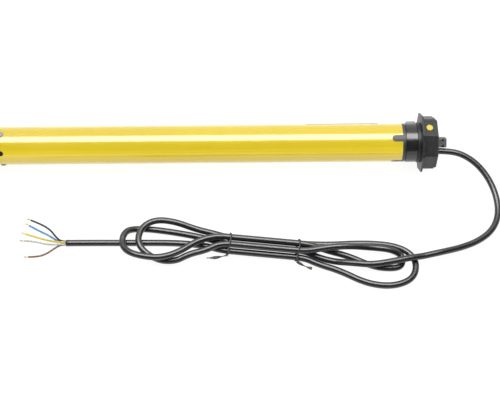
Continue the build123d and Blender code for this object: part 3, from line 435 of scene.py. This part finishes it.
def sheath_place():
    """The middle of the sheath's end face, the way that it faces and the bend before it."""
    middle = from_head(sheath_end)
    start, heading = hank_nodes()[-1]
    bend = start + heading * ((middle - start).length / 2)
    return middle, (middle - bend).normalized(), bend


def core_controls(name):
    """A core's control points, its first run square to the end of the sheath."""
    middle, facing, _ = sheath_place()
    angle, _, route = core_routes[name]
    side = Vector((0, 0, 1)).cross(facing)
    turn = math.radians(angle)
    start = middle + (Vector((0, 0, 1)) * math.sin(turn) - side * math.cos(turn)) * (core_circle_d / 2)
    return [start, start + facing * core_first_run, *[from_head(point) for point in route]]


def route_curve(name, controls, diameter):
    """A round cord along one smooth spline with these control points."""
    data = bpy.data.curves.new(name, "CURVE")
    data.dimensions = "3D"
    data.resolution_u = curve_steps
    data.bevel_depth = diameter / 2
    data.bevel_resolution = curve_rounding
    data.use_fill_caps = True
    spline = data.splines.new("NURBS")
    spline.points.add(len(controls) - 1)
    for point, place in zip(spline.points, controls):
        point.co = (*place, 1)
    spline.order_u = 3
    spline.use_endpoint_u = True
    spline.use_smooth = True
    return data


def line_along(controls):
    """The points of the smooth spline with these control points."""
    data = route_curve("line", controls, 0)
    holder = bpy.data.objects.new("line", data)
    mesh = bpy.data.meshes.new_from_object(holder)
    points = [vertex.co.copy() for vertex in mesh.vertices]
    bpy.data.meshes.remove(mesh)
    bpy.data.curves.remove(data)
    return points


# Mesh building
def frames_along(path, closed=False):
    """At each point of the path, two directions square to it that turn as little as they can."""
    count = len(path)
    tangents = []
    for k in range(count):
        before = path[k - 1] if closed or k else path[0]
        after = path[(k + 1) % count] if closed or k < count - 1 else path[-1]
        tangents.append((after - before).normalized())
    up = Vector((0, 0, 1)) if abs(tangents[0].z) < upright_share else Vector((0, 1, 0))
    across = up.cross(tangents[0]).normalized()
    frames = []
    for k, tangent in enumerate(tangents):
        if k:
            across = tangents[k - 1].rotation_difference(tangent) @ across
        across = (across - tangent * across.dot(tangent)).normalized()
        frames.append((across, tangent.cross(across)))
    return frames


def sweep(path, section, roll=0.0, twist=0.0, closed=False):
    """The section swept along the path, as points and faces. It starts turned by roll, and turns on
    by twist over the whole path."""
    points, faces = [], []
    for k, (place, (across, up)) in enumerate(zip(path, frames_along(path, closed))):
        turn = roll + twist * k / (len(path) - 1)
        for u, v in section:
            right = u * math.cos(turn) - v * math.sin(turn)
            high = u * math.sin(turn) + v * math.cos(turn)
            points.append(place + across * right + up * high)
    width = len(section)
    for k in range(len(path) if closed else len(path) - 1):
        here, there = k * width, (k + 1) % len(path) * width
        for i in range(width):
            j = (i + 1) % width
            faces.append((here + i, here + j, there + j, there + i))
    if not closed:
        last = (len(path) - 1) * width
        faces += [tuple(reversed(range(width))), tuple(range(last, last + width))]
    return points, faces


def round_section(diameter, sides):
    """A round section."""
    turns = [2 * math.pi * k / sides for k in range(sides)]
    return [(diameter / 2 * math.cos(turn), diameter / 2 * math.sin(turn)) for turn in turns]


def mesh_piece(name, parts):
    """One object from several lots of points and faces, smooth but for its sharp edges."""
    points, faces = [], []
    for part_points, part_faces in parts:
        first = len(points)
        points += part_points
        faces += [tuple(first + i for i in face) for face in part_faces]
    mesh = bpy.data.meshes.new(name)
    mesh.from_pydata(points, [], faces)
    mesh.shade_smooth()
    mesh.set_sharp_from_angle(angle=math.radians(sharp_angle))
    return bpy.data.objects.new(name, mesh)


def show(piece, material, body=housing):
    """Puts the piece in the scene with its finish, riding on its body."""
    bpy.context.scene.collection.objects.link(piece)
    piece.data.materials.append(material)
    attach(piece, body)
    return piece


# Shader building
def feed(tree, value, socket):
    """Feeds a socket from another one, or gives it a value."""
    if isinstance(value, bpy.types.NodeSocket):
        tree.links.new(value, socket)
    else:
        socket.default_value = value


def add(tree, kind, values=None, **settings):
    """A new node with these settings and inputs."""
    node = tree.nodes.new(kind)
    for key, value in settings.items():
        setattr(node, key, value)
    for key, value in (values or {}).items():
        feed(tree, value, node.inputs[key])
    return node


def reckon(tree, operation, *values):
    """The result of one sum on sockets or numbers."""
    node = tree.nodes.new("ShaderNodeMath")
    node.operation = operation
    for socket, value in zip(node.inputs, values):
        feed(tree, value, socket)
    return node.outputs[0]


def mixed(tree, share, first, second):
    """A colour between two, by the share of the second."""
    node = add(tree, "ShaderNodeMix", data_type="RGBA")
    feed(tree, share, node.inputs["Factor"])
    feed(tree, first, node.inputs[mix_first])
    feed(tree, second, node.inputs[mix_second])
    return node.outputs[mix_result]


def stretched(tree, value, low, high):
    """The value with this range spread over 0 to 1."""
    node = add(tree, "ShaderNodeMapRange", {"Value": value, "From Min": low, "From Max": high})
    return node.outputs["Result"]


def new_group(name, inputs, outputs):
    """An empty node group with these inputs, given by their usual values, and these outputs."""
    kinds = {float: "NodeSocketFloat", 3: "NodeSocketVector", 4: "NodeSocketColor"}
    tree = bpy.data.node_groups.new(name, "ShaderNodeTree")
    for label, value in inputs.items():
        kind = kinds[float if isinstance(value, float) else len(value)]
        socket = tree.interface.new_socket(name=label, in_out="INPUT", socket_type=kind)
        socket.default_value = value
    for label, kind in outputs.items():
        tree.interface.new_socket(name=label, in_out="OUTPUT", socket_type=kind)
    return tree, tree.nodes.new("NodeGroupInput").outputs, tree.nodes.new("NodeGroupOutput").inputs


surface_outputs = {"Color": "NodeSocketColor", "Roughness": "NodeSocketFloat", "Height": "NodeSocketFloat"}


def moulded_skin_group():
    """A moulded or sprayed skin: soft mottling between two tones, and a fine grain."""
    tree, given, result = new_group("moulded_skin", {
        "Light": charcoal_light, "Dark": charcoal_dark, "Mottle": 60.0, "Grain": 3000.0,
        "Roughness": 0.4, "Spread": 0.1}, surface_outputs)
    place = add(tree, "ShaderNodeTexCoord").outputs["Object"]
    mottle = add(tree, "ShaderNodeTexNoise", {"Vector": place, "Scale": given["Mottle"], "Detail": 3.0})
    grain = add(tree, "ShaderNodeTexNoise", {"Vector": place, "Scale": given["Grain"], "Detail": 2.0})
    soft = stretched(tree, mottle.outputs["Fac"], *noise_range)
    fine = stretched(tree, grain.outputs["Fac"], *noise_range)
    tone = reckon(tree, "MULTIPLY_ADD", soft, mottle_share, reckon(tree, "MULTIPLY", fine, grain_share))
    feed(tree, mixed(tree, tone, given["Dark"], given["Light"]), result["Color"])
    uneven = reckon(tree, "MULTIPLY", reckon(tree, "SUBTRACT", soft, 0.5), given["Spread"])
    feed(tree, reckon(tree, "ADD", uneven, given["Roughness"]), result["Roughness"])
    feed(tree, fine, result["Height"])
    return tree


def drawn_marks_group():
    """Marks drawn out in one direction: turning and grinding lines, sheet edges, laid wire."""
    tree, given, result = new_group("drawn_marks", {
        "Light": steel_light, "Dark": steel_dark, "Stretch": (40.0, 1500.0, 1500.0),
        "Roughness": 0.3, "Spread": 0.2}, surface_outputs)
    place = add(tree, "ShaderNodeTexCoord").outputs["Object"]
    long = add(tree, "ShaderNodeVectorMath", operation="MULTIPLY")
    feed(tree, place, long.inputs[0])
    feed(tree, given["Stretch"], long.inputs[1])
    marks = add(tree, "ShaderNodeTexNoise", {"Vector": long.outputs[0], "Scale": 1.0, "Detail": 4.0})
    line = stretched(tree, marks.outputs["Fac"], *noise_range)
    feed(tree, mixed(tree, line, given["Dark"], given["Light"]), result["Color"])
    uneven = reckon(tree, "MULTIPLY", reckon(tree, "SUBTRACT", line, 0.5), given["Spread"])
    feed(tree, reckon(tree, "ADD", uneven, given["Roughness"]), result["Roughness"])
    feed(tree, line, result["Height"])
    return tree


def flecks_group():
    """A mask of small scattered flecks, more of them as the share grows."""
    tree, given, result = new_group("flecks", {"Scale": 900.0, "Share": 0.2}, {"Mask": "NodeSocketFloat"})
    place = add(tree, "ShaderNodeTexCoord").outputs["Object"]
    cells = add(tree, "ShaderNodeTexVoronoi", {"Vector": place, "Scale": given["Scale"]})
    pick = add(tree, "ShaderNodeSeparateColor", {"Color": cells.outputs["Color"]}).outputs[0]
    chosen = reckon(tree, "LESS_THAN", pick, given["Share"])
    near = stretched(tree, cells.outputs["Distance"], *fleck_range)
    feed(tree, reckon(tree, "MULTIPLY", chosen, near), result["Mask"])
    return tree


def settled_dust_group():
    """A mask of the thin dust that settles on what faces up."""
    tree, given, result = new_group("settled_dust", {"Scale": 250.0, "Amount": 0.1},
                                    {"Mask": "NodeSocketFloat"})
    place = add(tree, "ShaderNodeTexCoord").outputs["Object"]
    spots = add(tree, "ShaderNodeTexNoise", {"Vector": place, "Scale": given["Scale"], "Detail": 5.0})
    normal = add(tree, "ShaderNodeNewGeometry").outputs["Normal"]
    facing = add(tree, "ShaderNodeSeparateXYZ", {"Vector": normal}).outputs["Z"]
    upward = stretched(tree, facing, *dust_slopes)
    patchy = stretched(tree, spots.outputs["Fac"], *dust_patches)
    feed(tree, reckon(tree, "MULTIPLY", reckon(tree, "MULTIPLY", upward, patchy), given["Amount"]),
         result["Mask"])
    return tree


moulded_skin = moulded_skin_group()
drawn_marks = drawn_marks_group()
flecks = flecks_group()
settled_dust = settled_dust_group()


def shader(name, values):
    """A material with these constant values on its Principled shader."""
    material = bpy.data.materials.new(name)
    material.use_nodes = True
    surface = material.node_tree.nodes["Principled BSDF"]
    for label, value in values.items():
        surface.inputs[label].default_value = value
    return material, material.node_tree, surface


def placed(tree, group, values):
    """A group's node in a material, with its own values."""
    node = tree.nodes.new("ShaderNodeGroup")
    node.node_tree = group
    for label, value in values.items():
        feed(tree, value, node.inputs[label])
    return node.outputs


def coated(tree, surface, skin, depth, colour=None):
    """Wires a skin to the shader, with its grain as a relief of this depth."""
    feed(tree, skin["Color"] if colour is None else colour, surface.inputs["Base Color"])
    feed(tree, skin["Roughness"], surface.inputs["Roughness"])
    relief = add(tree, "ShaderNodeBump", {"Height": skin["Height"], "Distance": depth, "Strength": 1.0})
    feed(tree, relief.outputs["Normal"], surface.inputs["Normal"])


def tube_enamel():
    """Yellow stoved enamel: a faint orange peel under a hard gloss."""
    material, tree, surface = shader("tube_enamel", {
        "Coat Weight": 1.0, "Coat Roughness": 0.07, "Coat IOR": 1.55})
    skin = placed(tree, moulded_skin, {"Light": enamel_light, "Dark": enamel_dark, "Mottle": 14.0,
                                       "Grain": 700.0, "Roughness": 0.24, "Spread": 0.04})
    coated(tree, surface, skin, depth=0.000002)
    return material


def charcoal_moulding(name, light, dark, roughness, specular=0.5):
    """Glass-filled black plastic, with pale flecks and a little dust."""
    material, tree, surface = shader(name, {"Specular IOR Level": specular})
    skin = placed(tree, moulded_skin, {"Light": light, "Dark": dark, "Mottle": 220.0, "Grain": 4200.0,
                                       "Roughness": roughness, "Spread": 0.12})
    speck = placed(tree, flecks, {"Scale": 1500.0, "Share": 0.16})["Mask"]
    dust = placed(tree, settled_dust, {"Scale": 300.0, "Amount": 0.05})["Mask"]
    speckled = mixed(tree, reckon(tree, "MULTIPLY", speck, fleck_strength), skin["Color"], fleck_grey)
    coated(tree, surface, skin, depth=0.00003, colour=mixed(tree, dust, speckled, dust_grey))
    return material


def spigot_moulding():
    """The spigot's paler moulding, its two cross holes painted black inside as shade."""
    material, tree, surface = shader("spigot_moulding", {"Specular IOR Level": 0.5})
    skin = placed(tree, moulded_skin, {"Light": spigot_light, "Dark": spigot_dark, "Mottle": 220.0,
                                       "Grain": 4200.0, "Roughness": 0.45, "Spread": 0.12})
    hole_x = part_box("mounting_spigot")[1].x - cross_hole_inset
    place = add(tree, "ShaderNodeTexCoord").outputs["Object"]
    x, y, z = add(tree, "ShaderNodeSeparateXYZ", {"Vector": place}).outputs
    slanted = reckon(tree, "MULTIPLY", reckon(tree, "ADD", y, reckon(tree, "SUBTRACT", z, axis_z)),
                     math.sqrt(0.5))
    across = reckon(tree, "SUBTRACT", reckon(tree, "ABSOLUTE", slanted), cross_hole_spacing / 2)
    along = reckon(tree, "SUBTRACT", x, hole_x)
    squares = reckon(tree, "MULTIPLY_ADD", across, across, reckon(tree, "MULTIPLY", along, along))
    far = reckon(tree, "SQRT", squares)
    # Painted shade: the walls of the cross holes are coloured black, and made fully rough
    inside = reckon(tree, "LESS_THAN", far, cross_hole_d / 2 * cross_hole_reach)
    coated(tree, surface, skin, depth=0.00002, colour=mixed(tree, inside, skin["Color"], painted_hole_shade))
    feed(tree, reckon(tree, "MAXIMUM", skin["Roughness"], inside), surface.inputs["Roughness"])
    return material


def plain_moulding(name, light, dark, roughness, coat=0.0, specular=0.5):
    """A clean moulded plastic."""
    material, tree, surface = shader(name, {"Coat Weight": coat, "Coat Roughness": 0.12,
                                            "Specular IOR Level": specular})
    skin = placed(tree, moulded_skin, {"Light": light, "Dark": dark, "Mottle": 120.0, "Grain": 3600.0,
                                       "Roughness": roughness, "Spread": 0.08})
    coated(tree, surface, skin, depth=0.00001)
    return material


def cable_sheath():
    """Black flexible cable sheath: a soft gloss, faintly scuffed on top."""
    material, tree, surface = shader("cable_sheath", {"Specular IOR Level": 0.95})
    skin = placed(tree, moulded_skin, {"Light": sheath_light, "Dark": sheath_dark, "Mottle": 90.0,
                                       "Grain": 2200.0, "Roughness": 0.31, "Spread": 0.08})
    dust = placed(tree, settled_dust, {"Scale": 420.0, "Amount": 0.02})["Mask"]
    coated(tree, surface, skin, depth=0.000002, colour=mixed(tree, dust, skin["Color"], dust_grey))
    return material


def drawn_metal(name, light, dark, stretch, roughness, depth=0.00001):
    """Bare metal with marks along or across it."""
    material, tree, surface = shader(name, {"Metallic": 1.0})
    marks = placed(tree, drawn_marks, {"Light": light, "Dark": dark, "Stretch": stretch,
                                       "Roughness": roughness, "Spread": 0.2})
    coated(tree, surface, marks, depth)
    return material


def circuit_board():
    """Green solder mask below, black relays and terminals above it."""
    material, tree, surface = shader("circuit_board", {"Coat Weight": 0.5, "Coat Roughness": 0.15})
    low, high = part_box("control_board")
    skin = placed(tree, moulded_skin, {"Light": board_light, "Dark": board_dark, "Mottle": 400.0,
                                       "Grain": 2500.0, "Roughness": 0.35, "Spread": 0.1})
    place = add(tree, "ShaderNodeTexCoord").outputs["Object"]
    height = add(tree, "ShaderNodeSeparateXYZ", {"Vector": place}).outputs["Z"]
    above = reckon(tree, "GREATER_THAN", height, low.z + (high.z - low.z) * board_share)
    coated(tree, surface, skin, depth=0.00001, colour=mixed(tree, above, skin["Color"], relay_black))
    return material


def striped_insulation():
    """Yellow insulation with its green stripe, which the mesh's own attribute marks."""
    material, tree, surface = shader("core_green_yellow", {})
    light, dark = core_tones["green_yellow"]
    skin = placed(tree, moulded_skin, {"Light": light, "Dark": dark, "Mottle": 150.0, "Grain": 3000.0,
                                       "Roughness": insulation_roughness, "Spread": 0.08})
    stripe = add(tree, "ShaderNodeAttribute", attribute_name="stripe").outputs["Fac"]
    coated(tree, surface, skin, depth=0.000005, colour=mixed(tree, stripe, skin["Color"], stripe_green))
    return material


def studio_floor():
    """A white lit table, which throws less light back than it shows."""
    material, tree, surface = shader("studio_floor", {})
    bounced = add(tree, "ShaderNodeLightPath").outputs["Is Diffuse Ray"]
    feed(tree, reckon(tree, "MULTIPLY_ADD", bounced, floor_bounce - floor_glow, floor_glow),
         surface.inputs["Emission Strength"])
    skin = placed(tree, moulded_skin, {"Light": floor_light, "Dark": floor_dark, "Mottle": 3.0,
                                       "Grain": 800.0, "Roughness": 0.8, "Spread": 0.02})
    feed(tree, skin["Color"], surface.inputs["Base Color"])
    feed(tree, skin["Roughness"], surface.inputs["Roughness"])
    surface.inputs["Emission Color"].default_value = plain_white
    return material


charcoal = charcoal_moulding("charcoal_moulding", charcoal_light, charcoal_dark, roughness=0.42)
insert_skin = charcoal_moulding("insert_moulding", insert_light, insert_dark, roughness=0.42, specular=0.62)
end_cover = charcoal_moulding("end_cover_moulding", cover_light, cover_dark, roughness=0.48)
spigot_skin = spigot_moulding()
glossy_black = plain_moulding("glossy_black_moulding", glossy_light, glossy_dark, roughness=0.22,
                              specular=0.8)
zinc = drawn_metal("zinc_plate", zinc_light, zinc_dark, cloudy, roughness=0.34)
rivet_steel = drawn_metal("rivet_steel", rivet_light, rivet_dark, cloudy, roughness=0.5)
ground_steel = drawn_metal("ground_steel", steel_light, steel_dark, around_x, roughness=0.30)
gear_steel = drawn_metal("gear_steel", steel_light, steel_dark, along_x, roughness=0.34)
lamination = drawn_metal("lamination_stack", stack_light, stack_dark, sheet_edges, roughness=0.45,
                         depth=0.00004)
casting = drawn_metal("aluminium_casting", cast_light, cast_dark, cast_grain, roughness=0.48, depth=0.00004)
winding = drawn_metal("winding_wire", winding_light, winding_dark, laid_wire, roughness=0.32,
                      depth=0.0001)
bare_copper = drawn_metal("bare_copper", bare_copper_light, bare_copper_dark, along_x, roughness=0.30)
white_moulding = plain_moulding("white_moulding", white_light, white_dark, roughness=0.42)
grey_moulding = plain_moulding("grey_moulding", grey_light, grey_dark, roughness=0.45)
button_moulding = plain_moulding("button_moulding", button_light, button_dark, roughness=0.32, coat=0.4)
film = plain_moulding("label_film", film_light, film_dark, roughness=0.38)
tie_film = plain_moulding("tie_film", tie_light, tie_dark, roughness=0.38)
dot_ink = plain_moulding("dot_ink", dot_tan, dot_tan, roughness=0.5)
sheath = cable_sheath()

node_finishes = {
    tube_enamel(): ["motor_tube"],
    charcoal: ["head_housing", "gearbox_end_cap", "drive_adapter"],
    insert_skin: ["head_insert"],
    glossy_black: ["running_ring", "locating_plugs", "cable_grommet"],
    spigot_skin: ["mounting_spigot"],
    end_cover: ["head_end_cover"],
    film: ["type_label"],
    button_moulding: ["setting_button"],
    rivet_steel: ["tube_rivets"],
    zinc: ["neck_screws", "cover_screws", "adapter_screw", "button_spring", "brake_spring"],
    white_moulding: ["run_capacitor", "counter_pinion"],
    grey_moulding: ["setting_switch", "capacitor_rings", "brake_disc"],
    circuit_board(): ["control_board"],
    casting: ["rear_end_shield", "front_end_shield"],
    lamination: ["stator_core", "rotor_core"],
    winding: ["stator_windings", "brake_coil"],
    ground_steel: ["rotor_bearings", "output_bearings", "rotor_shaft", "brake_armature", "brake_coil_pot",
                   "friction_plate", "output_carrier", "first_carrier", "second_carrier"],
    gear_steel: ["ring_gear", *[f"{stage}_planet_{k}" for stage in ("first", "second", "output")
                                for k in (1, 2, 3)]],
    sheath: ["cable_lead", "cable_hank", "cable_tail"],
    tie_film: ["twist_ties"],
    bare_copper: ["bare_conductors"],
}
core_finishes = {}
for colour, (light, dark) in core_tones.items():
    if colour == "green_yellow":
        core_finishes[colour] = striped_insulation()
    else:
        core_finishes[colour] = plain_moulding(f"core_{colour}", light, dark, insulation_roughness)
    node_finishes[core_finishes[colour]] = [f"wire_{colour}"]


def dress_nodes():
    """Gives every CAD node its finish."""
    for material, names in node_finishes.items():
        for name in names:
            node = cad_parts[name]
            for slot in node.material_slots:
                slot.material = material
            if not node.material_slots:
                node.data.materials.append(material)


# Cords
def supply_cable():
    """The whole cable: the lead, the tied hank and the tail, as one cord."""
    cable = bpy.data.objects.new("supply_cable", route_curve("supply_cable", cable_controls(), cable_d))
    show(cable, sheath)
    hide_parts("cable_lead", "cable_hank", "cable_tail")
    return cable


def sheath_rim():
    """The cut end of the sheath, with the filler that shows inside it."""
    middle, facing, _ = sheath_place()
    outer = cable_d / 2 + rim_proud
    inner = cable_d / 2 - rim_wall
    stations = [(-rim_back, outer), (rim_out - rim_edge, outer), (rim_out, outer - rim_edge),
                (rim_out, inner + rim_edge), (rim_out - rim_edge, inner), (0, inner), (0, rim_edge)]
    path = [middle + facing * along for along, _ in stations]
    side = Vector((0, 0, 1)).cross(facing)
    up = facing.cross(side)
    points, faces = [], []
    for place, (_, radius) in zip(path, stations):
        for k in range(rim_sides):
            turn = 2 * math.pi * k / rim_sides
            points.append(place + (side * math.cos(turn) + up * math.sin(turn)) * radius)
    for ring in range(len(stations) - 1):
        here, there = ring * rim_sides, (ring + 1) * rim_sides
        faces += [(here + k, here + (k + 1) % rim_sides, there + (k + 1) % rim_sides, there + k)
                  for k in range(rim_sides)]
    last = (len(stations) - 1) * rim_sides
    faces += [tuple(reversed(range(rim_sides))), tuple(range(last, last + rim_sides))]
    return show(mesh_piece("sheath_rim", [(points, faces)]), sheath)


def plain_core(name):
    """A core in one colour, as a cord on its spline."""
    core = bpy.data.objects.new(f"core_{name}", route_curve(f"core_{name}", core_controls(name), core_d))
    show(core, core_finishes[name])
    return core, None


def striped_core(name):
    """The earth core: a mesh tube on its spline, with a stripe that winds slowly round it."""
    line = line_along(core_controls(name))
    tube = sweep(line, round_section(core_d, core_sides), twist=math.radians(stripe_turn))
    core = mesh_piece(f"core_{name}", [tube])
    stripe = core.data.attributes.new("stripe", "FLOAT", "FACE")
    walls = core_sides * (len(line) - 1)
    stripe.data.foreach_set("value", [float(k < walls and 0 <= k % core_sides - stripe_start < stripe_sides)
                                      for k in range(len(core.data.polygons))])
    show(core, core_finishes[name])
    return core, line


def copper_ends(name):
    """The fine strands of a bared core, laid together and fanned a little at their tips."""
    *_, before, end = core_controls(name)
    ahead = (end - before).normalized()
    side = Vector((0, 0, 1)).cross(ahead).normalized()
    up = ahead.cross(side)
    parts = []
    for share, count, shift in strand_rings:
        for k in range(count):
            turn = 2 * math.pi * (k + shift) / count
            reach = strand_length * random.uniform(*strand_reach_shares)
            splay = strand_splay * share * random.uniform(*strand_splay_shares)
            path = []
            for step in range(strand_steps + 1):
                run = step / strand_steps
                wound = turn + strand_winding * run
                radius = share * bundle_d / 2 + splay * run * run
                path.append(end + ahead * (reach * run - strand_root)
                            + (side * math.cos(wound) + up * math.sin(wound)) * radius)
            parts.append(sweep(path, round_section(strand_d, strand_sides)))
    return show(mesh_piece(f"copper_ends_{name}", parts), bare_copper)


def ribbon_section():
    """A wire tie's section: a thin film with the ridge of its wire."""
    half, film, ridge = tie_width / 2, tie_film_t / 2, tie_t / 2
    right = [(half, 0), (half - film, film), (ridge + film, film),
             (ridge * tie_crest_share, ridge * tie_shoulder_share), (0, ridge)]
    top = right + [(-u, v) for u, v in reversed(right[:-1])]
    return top + [(u, -v) for u, v in reversed(top[1:-1])]


def band_path(side):
    """Round the five strands, a little above them."""
    steps = max(steps for steps, _ in strand_shares)
    top_steps = max(steps for steps, storeys in strand_shares if storeys)
    low = cable_d / 2 + tie_lift
    corners = [(steps, low, -90, band_lean), (top_steps, low + storey, band_lean, 90),
               (-top_steps, low + storey, 90, 180 - band_lean), (-steps, low, 180 - band_lean, 270)]
    reach = cable_d / 2 + tie_fit + tie_t / 2
    path = []
    for across, height, first, last in corners:
        for k in range(band_steps + 1):
            turn = math.radians(first + (last - first) * k / band_steps)
            along = side * waist_half + tie_slant * math.sin(turn)
            path.append(hank_place(along, across * strand_step + reach * math.cos(turn),
                                   height + reach * math.sin(turn)))
    return path


def tie_line(side):
    """The line of a tie's twisted tail, from the band to its end on the floor."""
    reach = strand_step + cable_d / 2 + tie_fit + tie_width / 2
    low = cable_d / 2 + tie_lift
    controls = [hank_place(side * waist_half, -reach, low)]
    controls += [hank_place(side * waist_half + along, across, tie_width / 2 + tie_t)
                 for along, across in tie_tails[side]]
    return line_along(controls)


def wire_tie(side, name):
    """A wire tie: its band round the strands and its two ends wound together."""
    line = tie_line(side)
    parts = [sweep(band_path(side), ribbon_section(), closed=True)]
    length = sum((after - before).length for before, after in zip(line, line[1:]))
    turns = length / tie_pitch
    for half in (0, 1):
        path = []
        for k, (place, (across, up)) in enumerate(zip(line, frames_along(line))):
            turn = math.pi * half + math.pi * turns * k / (len(line) - 1)
            path.append(place + (across * math.cos(turn) + up * math.sin(turn)) * (tie_t * tie_wound_share))
        parts.append(sweep(path, ribbon_section(), roll=math.pi * half, twist=math.pi * turns))
    return show(mesh_piece(name, parts), tie_film)


def button_dot():
    """The small dimple mark in the middle of the button."""
    low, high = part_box("setting_button")
    middle = Vector(((low.x + high.x) / 2, (low.y + high.y) / 2, high.z))
    centre = middle + Vector((0, 0, dot_lift - dot_depth))
    rim = [centre + Vector((x, y, 0)) for x, y in round_section(dot_d, dot_sides)]
    faces = [(k, (k + 1) % dot_sides, dot_sides) for k in range(dot_sides)]
    return show(mesh_piece("button_dot", [(rim + [centre], faces)]), dot_ink,
                body="button")


make_camera()
cable = supply_cable()
rim = sheath_rim()
ties = [wire_tie(-1, "wire_tie_left"), wire_tie(1, "wire_tie_right")]
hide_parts("twist_ties")
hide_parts("twist_ties")
for colour, (_, length, _) in core_routes.items():
    core, line = striped_core(colour) if colour == "green_yellow" else plain_core(colour)
    ends = copper_ends(colour)
    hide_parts(f"wire_{colour}")
    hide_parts("bare_conductors")
    core_controls(colour)[0]
button_dot()
dress_nodes()

make_lights()
make_sky()
make_floor()
bpy.context.scene.view_settings.view_transform = "Standard"
